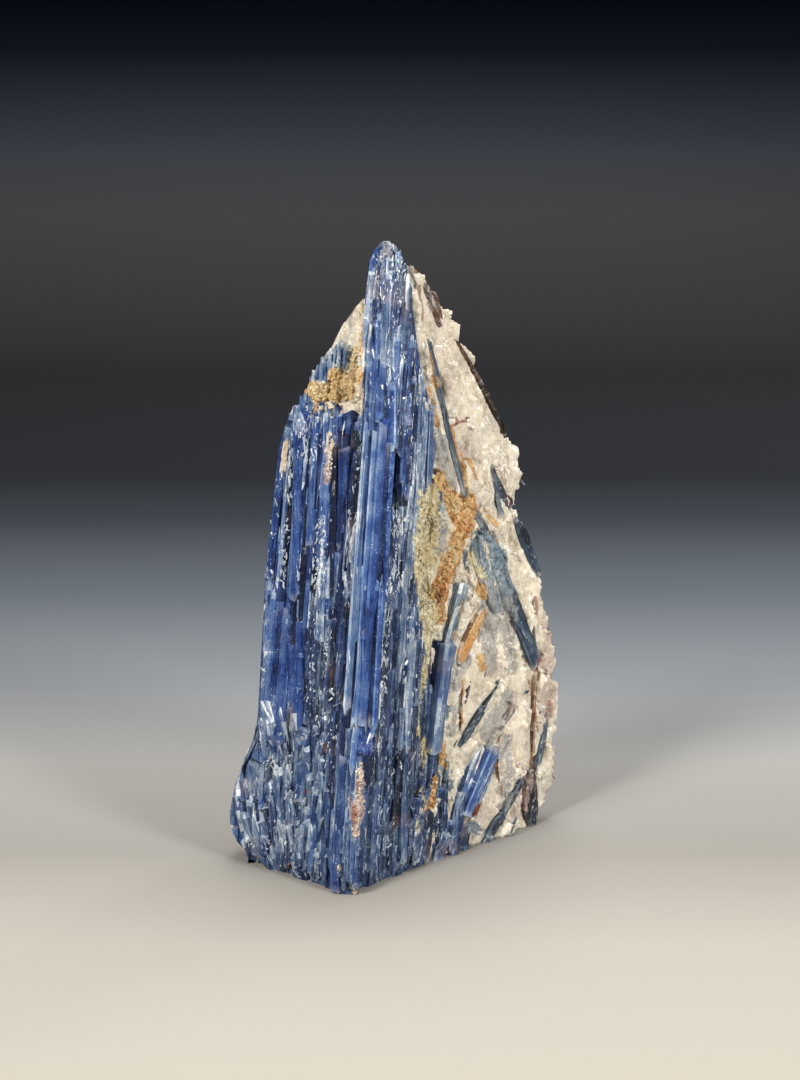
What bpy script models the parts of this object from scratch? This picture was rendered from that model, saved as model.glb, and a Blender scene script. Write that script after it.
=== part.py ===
"""Kyanite in quartz: a hand specimen that stands on a sawn foot.

A fan of long flat kyanite crystals, grown together, covers the front and left of a wedge of
milky quartz. Loose crystals lie in the quartz on the right. Run with
blender --background --python part.py. Lengths are millimetres until the last step.
"""

import math
import random

import bmesh
import bpy
from mathutils import Matrix, Vector, noise

HEIGHT = 190.0
CLEARANCE = 0.3  # air between two minerals, so that no two solids share a face
SEED = 7
METRES = Matrix.Scale(0.001, 4)
UP = Vector((0, 0, 1))

# The wedge's upright edges, each as (z, x, y) from the foot up. The ridge points forwards (-Y).
RIDGE = [(0, -16.8, -35.8), (HEIGHT, -4.8, -3.0)]
LEFT_EDGE = [
    (0, -42, -15), (3, -47, -11), (10, -50.5, -5.5), (21, -50.2, -4), (30, -48, -4),
    (37, -45.5, -4), (71, -43, 0.7), (108, -39.5, 6), (126, -37.2, 8), (140, -33, 8),
]  # fmt: skip
RIGHT_EDGE = [
    (0, 43, 24), (8, 48.6, 30), (16, 51.6, 34), (24, 50, 33.5), (37, 50.6, 34.8), (62, 48.3, 35),
    (73, 44.6, 33), (83, 43, 32.8), (98, 37.2, 28.7), (108, 36.8, 29.3), (117, 37.8, 31.3),
    (132, 30.7, 26), (137, 30, 25.8), (147, 23.9, 20.8), (157, 21, 19), (162, 19.4, 17.9),
    (176, 9.1, 9.3), (185, 1.4, 3.2),
]  # fmt: skip
# The seam is where blue crystal meets quartz: in front on the right face, and behind on the left.
SEAM_FRONT = [
    (0, 4.5, -14.5), (25, 10, -7), (50, 11, -3), (70, 7, -4.5), (95, 5, -3.8), (118, 9, 2.5),
    (133, 10, 5.5), (148, 8.5, 5.8), (160, 5, 3.5), (185, -0.5, 1),
]  # fmt: skip
SEAM_BACK = [
    (0, -44, 1), (15, -47, 7), (40, -43, 8), (90, -40, 11), (138, -34, 12.5), (146, -30.5, 9),
    (158, -22.5, 6.5), (165, -20, 6), (169, -15.5, 4), (173, -11.5, 2), (185, -8, 0),
]  # fmt: skip
BACK_LEFT = [
    (0, -30, 20), (60, -30, 21), (120, -26, 20), (146, -22, 16), (166, -13, 9), (185, -5, 3),
]  # fmt: skip
BACK_RIGHT = [(0, 10, 32), (30, 12, 35), (60, 14, 34.5), (120, 14, 30), (150, 9, 21), (185, -1, 4.5)]
# Inside the blue crystal up to the shoulder; above it the quartz comes out to the tip's left side.
QUARTZ_FRONT = [(0, -13, -15), (60, -12, -13), (139, -11, -8.4), (160, -10.6, -4.6), (185, -8, -1)]
QUARTZ_SIDES = (
    (SEAM_FRONT, RIGHT_EDGE, 10), (RIGHT_EDGE, BACK_RIGHT, 6), (BACK_RIGHT, BACK_LEFT, 7),
    (BACK_LEFT, SEAM_BACK, 4), (SEAM_BACK, QUARTZ_FRONT, 4), (QUARTZ_FRONT, SEAM_FRONT, 3),
)  # fmt: skip
FACES = {
    "crest": (RIDGE, None), "left": (RIDGE, LEFT_EDGE), "right": (RIDGE, RIGHT_EDGE),
    "flank": (LEFT_EDGE, SEAM_BACK), "rear": (RIGHT_EDGE, BACK_RIGHT), "back": (BACK_RIGHT, BACK_LEFT),
}  # fmt: skip
# The blue core under the crystals that face it ends at the shoulder, but for the ridge.
CORE_LEFT = [
    (0, -40, -13), (10, -47.5, -6), (21, -47.8, -4.6), (30, -45.6, -4), (37, -43, -2.5), (71, -41, 2),
    (126, -35.4, 9), (137, -31, 8), (141, -9, -4), (186, -7, -0.5),
]  # fmt: skip
CORE_BACK = [
    (0, -41, 2), (15, -44, 6), (40, -41, 8), (90, -38, 11), (126, -33.5, 12), (137, -29, 11),
    (141, -8, 3), (186, -4, 3),
]  # fmt: skip

# Crystals of the main fan, each as face, (distance from the ridge, z) at foot and head, width,
# thickness and how far its face stands out of the wedge.
FAN = {
    "ridge_blade": ("crest", (2.1, 44), (2.7, 137.5), 6.6, 8, 2.6),
    "ridge_blade_above": ("crest", (0.6, 132), (1.4, 155), 6, 8, 1.6),
    "ridge_foot": ("crest", (-0.6, -2), (1.0, 50), 7.5, 9, 1.4),
    "tip_left": ("crest", (-0.4, 134), (-2.6, 187), 5.2, 9, 0.9),
    "tip_crown": ("crest", (2.4, 160), (-0.2, 192), 7.0, 9, 0.2),
    "tip_middle": ("crest", (4.4, 138), (1.0, 188), 4.8, 9, 0.7),
    "tip_right": ("crest", (9.0, 136), (3.8, 186), 4.6, 8, 1.0),
    "tip_edge": ("right", (20.5, 136), (8.5, 181), 4.4, 6, 0.4),
    "royal_blade": ("left", (9.2, 96), (11.2, 131), 4.6, 6, 0.6),
    "shoulder_1": ("left", (15.2, 74), (16.4, 141), 5.2, 6, 1.2),
    "shoulder_2": ("left", (20.6, 60), (21.4, 142), 4.8, 6, 0.7),
    "shoulder_3": ("left", (25.8, 48), (26.0, 141.5), 5.4, 6, 1.5),
    "shoulder_4": ("left", (31.4, 86), (29.9, 139), 4.6, 6, 0.9),
    "left_plate": ("left", (34.4, 33), (35.4, 90), 8.4, 6, 1.9),
    "left_plate_low": ("left", (29.6, 30), (30.8, 66), 5.2, 6, 1.0),
    "front_low_1": ("left", (6.4, -2), (6.0, 62), 6.2, 7, 1.3),
    "front_low_2": ("left", (13.0, -2), (12.2, 52), 6.6, 7, 0.8),
    "front_low_3": ("left", (19.6, -2), (18.6, 44), 6.4, 7, 1.5),
    "middle_left_1": ("left", (6.2, 58), (6.4, 108), 6.4, 7, 0.6),
    "middle_left_2": ("left", (12.6, 48), (12.0, 98), 6.2, 7, 1.2),
    "middle_left_3": ("left", (18.4, 40), (17.8, 76), 6.4, 7, 0.5),
    "right_1": ("right", (8.4, -2), (9.0, 96), 5.6, 7, 1.2),
    "right_2": ("right", (13.6, -2), (14.4, 74), 5.4, 7, 0.5),
    "right_3": ("right", (18.6, -2), (20.2, 62), 5.8, 7, 1.3),
    "right_4": ("right", (24.0, -2), (25.2, 80), 5.6, 7, 0.7),
    "right_5": ("right", (29.4, -2), (30.8, 52), 5.4, 6, 1.0),
    "right_6": ("right", (9.8, 90), (11.6, 139), 5.4, 7, 0.2),
    "right_7": ("right", (15.0, 70), (16.6, 128), 5.6, 7, 1.1),
    "right_8": ("right", (20.4, 86), (21.8, 140), 4.8, 6, 0.5),
    "pale_blade": ("right", (21.6, 40), (22.6, 76), 3.0, 6, 2.0),
    "square_blade": ("right", (31.6, 33), (36.2, 67), 6.2, 8, 1.9),
    "notch_1": ("left", (24.8, 130), (23.6, 148.5), 4.0, 5, -0.4),
    "notch_2": ("left", (21.2, 132), (19.8, 154), 3.6, 5, -0.7),
    "notch_3": ("left", (17.2, 134), (15.6, 158), 3.6, 5, -1.1),
    "flank_1": ("flank", (2.8, 26), (3.4, 132), 5.4, 6, 0.9),
    "flank_2": ("flank", (7.6, 30), (5.4, 118), 4.6, 6, 0.4),
}
# Crystals that lie in the quartz of the right face and the back, in the same order of values.
EMBEDDED = {
    "crown_crystal": ("right", (24.4, 164), (15.4, 181), 3.4, 4, 0.7),
    "rim_crystal": ("right", (56.6, 129), (31.6, 160), 2.2, 4, 1.0),
    "seam_crystal": ("right", (40.4, 111), (20.4, 159.5), 3.4, 5, 0.9),
    "side_crystal": ("right", (77.2, 82), (52.4, 118.5), 5.2, 6, 1.2),
    "grey_crystal": ("right", (40.8, 72.5), (43.8, 85), 3.8, 5, 1.0),
    "stained_crystal": ("right", (42.6, 58.5), (53.2, 74), 4.6, 5, 0.8),
    "diagonal_crystal": ("right", (47.4, 35), (61.6, 50), 2.8, 4, 0.9),
    "needle_crystal": ("right", (81.0, 21.5), (78.8, 46), 1.8, 4, 0.8),
    "jagged_crystal": ("right", (85.0, 22.5), (87.2, 34), 3.0, 4, 1.1),
    "low_crystal": ("right", (60.8, -0.5), (73.6, 12.4), 4.2, 5, 1.0),
    "corner_crystal": ("right", (82.6, 0), (80.8, 16), 6.2, 5, 0.8),
    "back_crystal_low": ("back", (8, 22), (17, 71), 5.4, 5, 1.0),
    "back_crystal_high": ("back", (29, 80), (20, 117), 3.6, 5, 0.9),
    "back_crystal_side": ("rear", (14, 50), (23, 88), 4.2, 5, 1.0),
}
# Groups of crystals that grew into each other, each fused into one solid.
CLUSTERS = {
    "kyanite_foot_cluster": {
        "foot_1": ("right", (40.4, -2), (40.8, 30), 5.2, 7, 0.9),
        "foot_2": ("right", (45.8, -2), (47.4, 19), 5.8, 7, 1.4),
        "foot_3": ("right", (51.2, -2), (51.6, 8), 5.2, 7, 0.6),
        "bright": ("right", (49.2, 11.4), (60.4, 29.6), 7.4, 6, 1.8),
        "pale": ("right", (55.4, 25), (66.4, 43), 5.6, 6, 0.9),
    },
    "kyanite_seam_cluster": {
        "seam_long": ("right", (78.4, 52.5), (50.2, 98), 5.4, 6, 1.5),
        "knot_1": ("right", (57.4, 77.5), (49.4, 96), 5.6, 6, 0.9),
        "knot_2": ("right", (52.4, 80.5), (47.6, 93.5), 5.0, 6, 0.5),
        "knot_3": ("right", (62.6, 76.5), (55.4, 90), 4.4, 6, 0.6),
    },
}
# Hollows between the crystals of the fan, as the crystals that would fill them.
HOLLOWS = {
    "beside_ridge": ("right", (12.6, 114.5), (13.2, 128.5), 4.8, 7, 4.2),
    "beside_royal": ("left", (6.0, 113), (6.6, 130), 3.4, 7, 4.4),
}
# Planes that end the tip, each as a point and the way that it looks.
TIP_PLANES = [
    ((-4.8, 0, 190), (0, 0, 1)), ((-9.7, 0, 185.4), (-1, -0.3, 1)), ((0, 0, 186.4), (0.9, -0.2, 1)),
    ((-4.8, -2.6, 189), (0, -0.8, 1)), ((-4.8, 1.5, 189), (0, 0.9, 1)),
]  # fmt: skip


def along(line, z):
    """The point of an upright edge at height z."""
    below = max((p for p in line if p[0] <= z), default=line[0])
    above = min((p for p in line if p[0] >= z), default=line[-1])
    share = 0 if above[0] == below[0] else (z - below[0]) / (above[0] - below[0])
    x, y = Vector(below[1:]).lerp(Vector(above[1:]), share)
    return Vector((x, y, z))


def on_face(face, across, z):
    """A point on a face of the wedge, and the level direction that the face looks in."""
    start, end = FACES[face]
    way = (along(end, z) - along(start, z)).normalized() if end else Vector((1, 0, 0))
    outwards = way.cross(UP)
    if face in ("left", "flank"):
        outwards.negate()
    return along(start, z) + way * across, outwards


def new_object(name, bm):
    """Links a mesh made from bm, which is freed."""
    mesh = bpy.data.meshes.new(name)
    bm.to_mesh(mesh)
    bm.free()
    obj = bpy.data.objects.new(name, mesh)
    bpy.context.scene.collection.objects.link(obj)
    return obj


def cut(bm, point, normal):
    """Cuts away what lies on the normal's side of a plane, and closes the cut."""
    everything = bm.verts[:] + bm.edges[:] + bm.faces[:]
    made = bmesh.ops.bisect_plane(
        bm, geom=everything, plane_co=point, plane_no=normal, clear_outer=True
    )
    edges = [e for e in made["geom_cut"] if isinstance(e, bmesh.types.BMEdge)]
    if edges:
        bmesh.ops.holes_fill(bm, edges=edges)


def crystal(name, foot, head, facing, width, thick, rng, grow=0.0):
    """A flat kyanite blade from foot to head: six sides, leaning as its lattice does, broken ends."""
    axis = head - foot
    length = axis.length
    bm = bmesh.new()
    bmesh.ops.create_cube(bm, size=1)
    bmesh.ops.scale(bm, vec=(width, thick, length + 2 * width), verts=bm.verts)
    slopes = [e for e in bm.edges if abs(e.verts[0].co.z - e.verts[1].co.z) > length]
    corners = [e for e in slopes if e.verts[0].co.x * e.verts[0].co.y > 0]
    bmesh.ops.bevel(
        bm,
        geom=corners,
        offset=min(width, thick) * rng.uniform(0.2, 0.42),
        offset_type="OFFSET",
        segments=1,
        profile=0.5,
        affect="EDGES",
        material=-1,
    )
    shear = Matrix.Identity(4)
    shear[0][1] = rng.uniform(-0.3, 0.3)
    bmesh.ops.transform(bm, matrix=shear, verts=bm.verts)
    for end in (1, -1):
        lean = math.radians(rng.uniform(12, 48))
        turn = rng.uniform(0, math.tau)
        normal = Vector((math.sin(lean) * math.cos(turn), math.sin(lean) * math.sin(turn), end))
        cut(bm, Vector((0, 0, end * length / 2)), normal)
    if grow:
        stretch = [(size + 2 * grow) / size for size in (width, thick, length)]
        bmesh.ops.scale(bm, vec=stretch, verts=bm.verts)
    towards = axis.normalized()
    depth = -(facing - towards * facing.dot(towards)).normalized()
    side = depth.cross(towards)
    turn = Matrix((side, depth, towards)).transposed().to_4x4()
    bmesh.ops.transform(bm, matrix=Matrix.Translation((foot + head) / 2) @ turn, verts=bm.verts)
    bmesh.ops.recalc_face_normals(bm, faces=bm.faces)
    return new_object(name, bm)


def crystal_on_face(name, row, grow=0.0):
    """A crystal from one row of the tables above."""
    rng = random.Random(str(row))
    face, low, high, width, thick, proud = row
    foot, out_low = on_face(face, *low)
    head, out_high = on_face(face, *high)
    facing = Matrix.Rotation(math.radians(rng.uniform(-9, 9)), 3, "Z") @ (out_low + out_high)
    facing.normalize()
    sink = facing * (proud - thick / 2)
    return crystal(name, foot + sink, head + sink, facing, width, thick, rng, grow)


def seam_reach(z):
    """How far the blue crystal reaches from the ridge on the right face."""
    return (along(SEAM_FRONT, z) - along(RIDGE, z)).length


def fan_filling():
    """Rows of crystals between those of the table, set a little deeper."""
    rng = random.Random(SEED)
    rows = {}
    for face, first, last, low, high in (
        ("left", 3, 36, -4, 136),
        ("right", 3, 30, -4, 130),
        ("flank", 1, 12, 24, 132),
    ):
        across = first
        while across < last:
            z = low - rng.uniform(0, 12)
            while z < high - 12:
                top = min(z + rng.uniform(34, 70), high + rng.uniform(-3, 3))
                drift = rng.uniform(-0.9, 0.9)
                width = rng.uniform(3.8, 6.0)
                proud = rng.uniform(-1.1, 0.7)
                name = f"{face}_fill_{len(rows)}"
                if face != "right" or across < seam_reach((z + top) / 2) - 1:
                    rows[name] = (face, (across - drift, z), (across + drift, top), width, 7, proud)
                z = top - rng.uniform(2, 9)
            across += rng.uniform(3.8, 4.8)
    return rows


def fan_splinters():
    """Rows of short broken crystals on the fan's faces."""
    rng = random.Random(SEED + 2)
    rows = {}
    for i in range(40):
        face, last = rng.choice((("left", 36), ("right", 30)))
        across = rng.uniform(2, last)
        z = rng.uniform(2, 122)
        drift = rng.uniform(-1.2, 1.2)
        size = (rng.uniform(1.8, 3.4), 4, rng.uniform(0.6, 1.9))
        rows[f"splinter_{i}"] = (face, (across - drift, z), (across + drift, z + rng.uniform(7, 24)), *size)
    return rows


def toe_crystals(grow=0.0):
    """The jumble of short crystals in the bulge at the left foot."""
    rng = random.Random(SEED + 1)
    made = []
    for i in range(20):
        face = "flank" if i % 5 == 4 else "left"
        across = rng.uniform(0, 9) if face == "flank" else rng.uniform(21, 43)
        point, outwards = on_face(face, across, rng.uniform(4, 40))
        level = outwards.cross(UP)
        lean = math.radians(rng.choice((-1, 1, 1)) * rng.uniform(12, 58))
        way = (UP * math.cos(lean) + level * math.sin(lean) + outwards * rng.uniform(-0.3, 0.3)).normalized()
        half = way * rng.uniform(6, 11)
        thick = rng.uniform(5, 7)
        centre = point + outwards * (rng.uniform(-0.4, 1.4) - thick / 2)
        width = rng.uniform(4, 7)
        made.append(crystal(f"toe_{i}", centre - half, centre + half, outwards, width, thick, rng, grow))
    return made


def body(name, sides, levels, place):
    """A closed body of level sections: place(a, b, share, z) is the point between two edges."""
    columns = [(a, b, i / steps) for a, b, steps in sides for i in range(steps)]
    columns.append(columns[0])
    bm = bmesh.new()
    bmesh.ops.create_grid(bm, x_segments=len(columns) - 1, y_segments=len(levels) - 1, size=1)
    for vertex in bm.verts:
        column = columns[round((vertex.co.x + 1) / 2 * (len(columns) - 1))]
        z = levels[round((vertex.co.y + 1) / 2 * (len(levels) - 1))]
        vertex.co = place(*column, z)
    bmesh.ops.remove_doubles(bm, verts=bm.verts, dist=0.0001)
    bmesh.ops.holes_fill(bm, edges=[e for e in bm.edges if e.is_boundary])
    bmesh.ops.recalc_face_normals(bm, faces=bm.faces)
    bmesh.ops.triangulate(bm, faces=bm.faces)
    return new_object(name, bm)


def core(name, grow=0.0):
    """The blue mass behind the crystals of the fan."""
    sides = [(RIDGE, SEAM_FRONT, 1), (SEAM_FRONT, CORE_BACK, 1), (CORE_BACK, CORE_LEFT, 1),
             (CORE_LEFT, RIDGE, 1)]  # fmt: skip

    def place(start, end, share, z):
        point = along(start, z)
        middle = sum((along(side[0], z) for side in sides), Vector()) / 4
        inwards = (middle - point).normalized()
        depth = 3.4 if start is RIDGE else 1.0
        return point + inwards * (depth - grow)

    return body(name, sides, (-6, 10, 37, 71, 100, 126, 137, 141, 160, 184), place)


def quartz(name):
    """The milky quartz, in lumps with flat faces."""
    levels = [-5.5 + 5.45 * i for i in range(35)]

    def place(start, end, share, z):
        point = along(start, z).lerp(along(end, z), share)
        middle = sum((along(side[0], z) for side in QUARTZ_SIDES), Vector()) / len(QUARTZ_SIDES)
        outwards = (point - middle).normalized()
        near, far = noise.voronoi(point / 13)[0][:2]
        lump = 2.2 * (far - near) + 1.5 * noise.noise(point / 7) - 1.1
        if start is RIGHT_EDGE and share == 0:
            lump *= 0.5
        shift = noise.noise_vector(point / 4) * min(1.5, 0.15 * (point - middle).length)
        return point + outwards * lump + shift

    return body(name, QUARTZ_SIDES, levels, place)


def combine(obj, others, operation):
    """Joins the others to obj or cuts them from it, and removes them."""
    group = bpy.data.collections.new("operands")
    for other in others:
        group.objects.link(other)
    boolean = obj.modifiers.new("boolean", "BOOLEAN")
    boolean.operation = operation
    boolean.solver = "EXACT"
    boolean.operand_type = "COLLECTION"
    boolean.collection = group
    graph = bpy.context.evaluated_depsgraph_get()
    mesh = bpy.data.meshes.new_from_object(obj.evaluated_get(graph))
    obj.modifiers.clear()
    obj.data = mesh
    for other in others:
        bpy.data.objects.remove(other)
    bpy.data.collections.remove(group)


def keep_largest(obj):
    """Removes the crumbs that a cut has loosened."""
    bm = bmesh.new()
    bm.from_mesh(obj.data)
    left = set(bm.verts)
    lumps = []
    while left:
        lump = set()
        edge = [left.pop()]
        while edge:
            vertex = edge.pop()
            lump.add(vertex)
            near = {e.other_vert(vertex) for e in vertex.link_edges} & left
            left -= near
            edge.extend(near)
        lumps.append(lump)
    largest = max(lumps, key=len)
    crumbs = [v for v in bm.verts if v not in largest]
    bmesh.ops.delete(bm, geom=crumbs, context="VERTS")
    bm.to_mesh(obj.data)
    bm.free()


def trim(obj, point, normal):
    """Takes off what lies beyond a plane."""
    bm = bmesh.new()
    bmesh.ops.create_cube(bm, size=400)
    bmesh.ops.translate(bm, vec=(0, 0, 200), verts=bm.verts)
    turn = UP.rotation_difference(Vector(normal)).to_matrix().to_4x4()
    bmesh.ops.transform(bm, matrix=Matrix.Translation(point) @ turn, verts=bm.verts)
    combine(obj, [new_object("waste", bm)], "DIFFERENCE")


def stand(objects):
    """Centres the specimen over the origin and turns millimetres into metres."""
    points = [v.co for obj in objects for v in obj.data.vertices]
    x, y = ((min(p[i] for p in points) + max(p[i] for p in points)) / 2 for i in (0, 1))
    for obj in objects:
        obj.data.transform(METRES @ Matrix.Translation((-x, -y, 0)))


def fan(name, grow=0.0):
    """All the crystals that grew together, as one solid."""
    mass = core(name, grow)
    rows = {**FAN, **fan_filling(), **fan_splinters()}
    crystals = [crystal_on_face(row_name, row, grow) for row_name, row in rows.items()]
    combine(mass, crystals + toe_crystals(grow), "UNION")
    return mass


def cluster(name, rows, grow=0.0):
    """A group of crystals as one solid."""
    crystals = [crystal_on_face(row_name, row, grow) for row_name, row in rows.items()]
    crystals[0].name = name
    combine(crystals[0], crystals[1:], "UNION")
    return crystals[0]


def stone(name, colour, roughness):
    """A mineral's material."""
    material = bpy.data.materials.new(name)
    material.use_nodes = True
    shader = material.node_tree.nodes["Principled BSDF"]
    shader.inputs["Base Color"].default_value = (*colour, 1)
    shader.inputs["Roughness"].default_value = roughness
    shader.inputs["Metallic"].default_value = 0
    material.diffuse_color = (*colour, 1)
    return material


def main():
    for obj in list(bpy.data.objects):
        bpy.data.objects.remove(obj)
    noise.seed_set(SEED)
    royal = stone("kyanite_royal", (0.06, 0.13, 0.42), 0.35)
    slate = stone("kyanite_slate", (0.09, 0.13, 0.24), 0.4)
    rusty = stone("kyanite_rusty", (0.2, 0.08, 0.05), 0.5)
    milky = stone("quartz_milky", (0.72, 0.66, 0.6), 0.45)
    rust = {"crown_crystal", "rim_crystal", "needle_crystal", "stained_crystal"}

    matrix = quartz("quartz_matrix")
    cutters = [fan("fan_room", CLEARANCE)]
    cutters += [cluster(f"{name}_room", rows, CLEARANCE) for name, rows in CLUSTERS.items()]
    cutters += [crystal_on_face(f"{name}_room", row, CLEARANCE) for name, row in EMBEDDED.items()]
    combine(matrix, cutters, "DIFFERENCE")
    matrix.data.materials.append(milky)

    mass = fan("kyanite_mass")
    mass.data.materials.append(royal)
    combine(mass, [crystal_on_face(name, row) for name, row in HOLLOWS.items()], "DIFFERENCE")
    for name, rows in CLUSTERS.items():
        cluster(name, rows).data.materials.append(slate)
    for name, row in EMBEDDED.items():
        crystal_on_face(name, row).data.materials.append(rusty if name in rust else slate)

    for point, normal in TIP_PLANES:
        trim(mass, point, normal)
    for obj in bpy.data.objects:
        if min(v.co.z for v in obj.data.vertices) < 0:
            trim(obj, (0, 0, 0), (0, 0, -1))
        keep_largest(obj)
    stand(bpy.data.objects)


main()
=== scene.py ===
"""Looks of the kyanite specimen: blue blades, the quartz that holds them, a floor and soft lights.

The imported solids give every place. Lengths are millimetres until a finished mesh is put in metres.
"""

import math
import random

import bmesh
import bpy
import numpy as np
from mathutils import Matrix, Vector, noise
from mathutils.bvhtree import BVHTree


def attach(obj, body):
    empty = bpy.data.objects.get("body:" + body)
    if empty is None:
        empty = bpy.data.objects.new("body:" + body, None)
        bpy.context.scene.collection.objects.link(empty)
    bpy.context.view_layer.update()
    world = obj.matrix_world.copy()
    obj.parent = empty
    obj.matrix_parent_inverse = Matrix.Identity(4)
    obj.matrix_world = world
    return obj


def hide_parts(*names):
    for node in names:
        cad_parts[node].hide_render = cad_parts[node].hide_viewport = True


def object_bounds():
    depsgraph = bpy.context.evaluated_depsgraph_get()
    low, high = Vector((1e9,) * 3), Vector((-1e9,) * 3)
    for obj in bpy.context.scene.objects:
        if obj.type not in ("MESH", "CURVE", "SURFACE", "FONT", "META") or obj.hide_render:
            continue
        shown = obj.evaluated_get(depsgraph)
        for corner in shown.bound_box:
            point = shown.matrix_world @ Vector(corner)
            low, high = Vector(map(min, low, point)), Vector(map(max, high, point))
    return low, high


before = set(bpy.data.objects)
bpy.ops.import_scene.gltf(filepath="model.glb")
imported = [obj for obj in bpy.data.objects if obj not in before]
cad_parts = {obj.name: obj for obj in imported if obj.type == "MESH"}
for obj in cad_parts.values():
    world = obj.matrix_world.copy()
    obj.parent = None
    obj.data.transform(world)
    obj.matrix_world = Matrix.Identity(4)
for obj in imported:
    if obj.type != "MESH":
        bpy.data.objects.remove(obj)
cad_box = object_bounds()

UP = Vector((0, 0, 1))
CENTRE = Vector((1.6, 0.33, 0))  # from the wedge's own measures to the row frame
MM = 1000  # millimetres in a metre
SEED = 11
HEIGHT = 190.0
LANDING = 9  # a surface is looked for this far before and behind the plane of a face
CLEARANCE = 0.005  # pieces keep this far inside the solids' box

# The wedge's upright edges, each as (z, x, y) from the foot up, as the solids have them.
RIDGE = [(0, -16.8, -35.8), (HEIGHT, -4.8, -3.0)]
LEFT_EDGE = [
    (0, -42, -15), (3, -47, -11), (10, -50.5, -5.5), (21, -50.2, -4), (30, -48, -4),
    (37, -45.5, -4), (71, -43, 0.7), (108, -39.5, 6), (126, -37.2, 8), (140, -33, 8),
]  # fmt: skip
RIGHT_EDGE = [
    (0, 43, 24), (8, 48.6, 30), (16, 51.6, 34), (24, 50, 33.5), (37, 50.6, 34.8), (62, 48.3, 35),
    (73, 44.6, 33), (83, 43, 32.8), (98, 37.2, 28.7), (108, 36.8, 29.3), (117, 37.8, 31.3),
    (132, 30.7, 26), (137, 30, 25.8), (147, 23.9, 20.8), (157, 21, 19), (162, 19.4, 17.9),
    (176, 9.1, 9.3), (185, 1.4, 3.2),
]  # fmt: skip
SEAM_FRONT = [
    (0, 4.5, -14.5), (25, 10, -7), (50, 11, -3), (70, 7, -4.5), (95, 5, -3.8), (118, 9, 2.5),
    (133, 10, 5.5), (148, 8.5, 5.8), (160, 5, 3.5), (185, -0.5, 1),
]  # fmt: skip
SEAM_BACK = [
    (0, -44, 1), (15, -47, 7), (40, -43, 8), (90, -40, 11), (138, -34, 12.5), (146, -30.5, 9),
    (158, -22.5, 6.5), (165, -20, 6), (169, -15.5, 4), (173, -11.5, 2), (185, -8, 0),
]  # fmt: skip
BACK_LEFT = [
    (0, -30, 20), (60, -30, 21), (120, -26, 20), (146, -22, 16), (166, -13, 9), (185, -5, 3),
]  # fmt: skip
BACK_RIGHT = [(0, 10, 32), (30, 12, 35), (60, 14, 34.5), (120, 14, 30), (150, 9, 21), (185, -1, 4.5)]
FACES = {
    "crest": (RIDGE, None), "left": (RIDGE, LEFT_EDGE), "right": (RIDGE, RIGHT_EDGE),
    "flank": (LEFT_EDGE, SEAM_BACK), "rear": (RIGHT_EDGE, BACK_RIGHT), "back": (BACK_RIGHT, BACK_LEFT),
}  # fmt: skip
FAN_TOP = {"left": 141, "flank": 138, "right": 162, "crest": 192}
# Layers of long blades over the blue mass: face, reach across, reach in height, how many, widths, lengths.
BLADE_LAYERS = (
    ("left", (0.5, 38), (-2, 141), 230, (1.8, 4.4), (20, 64)),
    ("left", (0.5, 38), (-2, 141), 190, (0.6, 1.7), (6, 30)),
    ("right", (0.5, 36), (-2, 158), 220, (1.6, 3.8), (16, 54)),
    ("right", (0.5, 36), (-2, 158), 260, (0.5, 1.7), (5, 26)),
    ("flank", (0.5, 13), (10, 136), 170, (0.8, 2.8), (8, 34)),
    ("crest", (-5.5, 9.5), (134, 188), 70, (1.6, 3.2), (14, 34)),
    ("crest", (-5.5, 9.5), (134, 188), 110, (0.5, 1.3), (5, 20)),
    ("crest", (-4.5, 4.5), (-2, 52), 100, (1.0, 3.0), (8, 30)),
)
SPLINTER_LAYERS = (
    ("left", (0.5, 40), (0, 142), 650, (0.18, 0.5), (0.8, 5.0)),
    ("right", (0.5, 36), (0, 158), 600, (0.18, 0.5), (0.7, 4.0)),
    ("flank", (0.5, 13), (0, 136), 300, (0.2, 0.6), (1.0, 5.0)),
    ("crest", (-5.5, 9.5), (134, 190), 160, (0.18, 0.5), (0.5, 2.4)),
)
# Patches of pale flakes on the blue faces: across, height, lean in degrees, how many, tone.
FLAKES = {
    "left": (
        ((12.6, 20), (84, 110), 24, 260, 1.0), ((29, 31.6), (86, 138), 2, 120, 1.0),
        ((2, 8), (84, 113), 6, 110, 0.95), ((2.4, 7.4), (113, 135), 0, 40, 0.95),
        ((12, 36), (124, 141), 0, 210, 0.95), ((9, 15), (60, 84), 3, 90, 0.95),
        ((15.6, 20.4), (50, 86), 0, 80, 1.0), ((4, 20), (36, 60), 12, 160, 0.95),
        ((20, 38), (30, 46), 8, 110, 0.95), ((10, 42), (2, 34), 24, 220, 0.95),
        ((33, 38), (44, 120), 1, 110, 0.9),
    ),
    "right": (
        ((9, 16), (86, 113), -6, 330, 1.05), ((6, 11), (40, 92), 0, 240, 1.0),
        ((16, 24), (60, 112), -3, 170, 0.95), ((8, 16), (113, 134), 0, 90, 0.95),
        ((4, 18), (132, 158), -4, 120, 0.95), ((2, 26), (4, 44), -6, 240, 0.9),
    ),
    "crest": (
        ((-4, 5), (174, 190), 0, 90, 1.0), ((-4, 1), (150, 186), 0, 60, 0.95),
        ((1, 8), (142, 186), -3, 110, 1.0),
    ),
}  # fmt: skip
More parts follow.
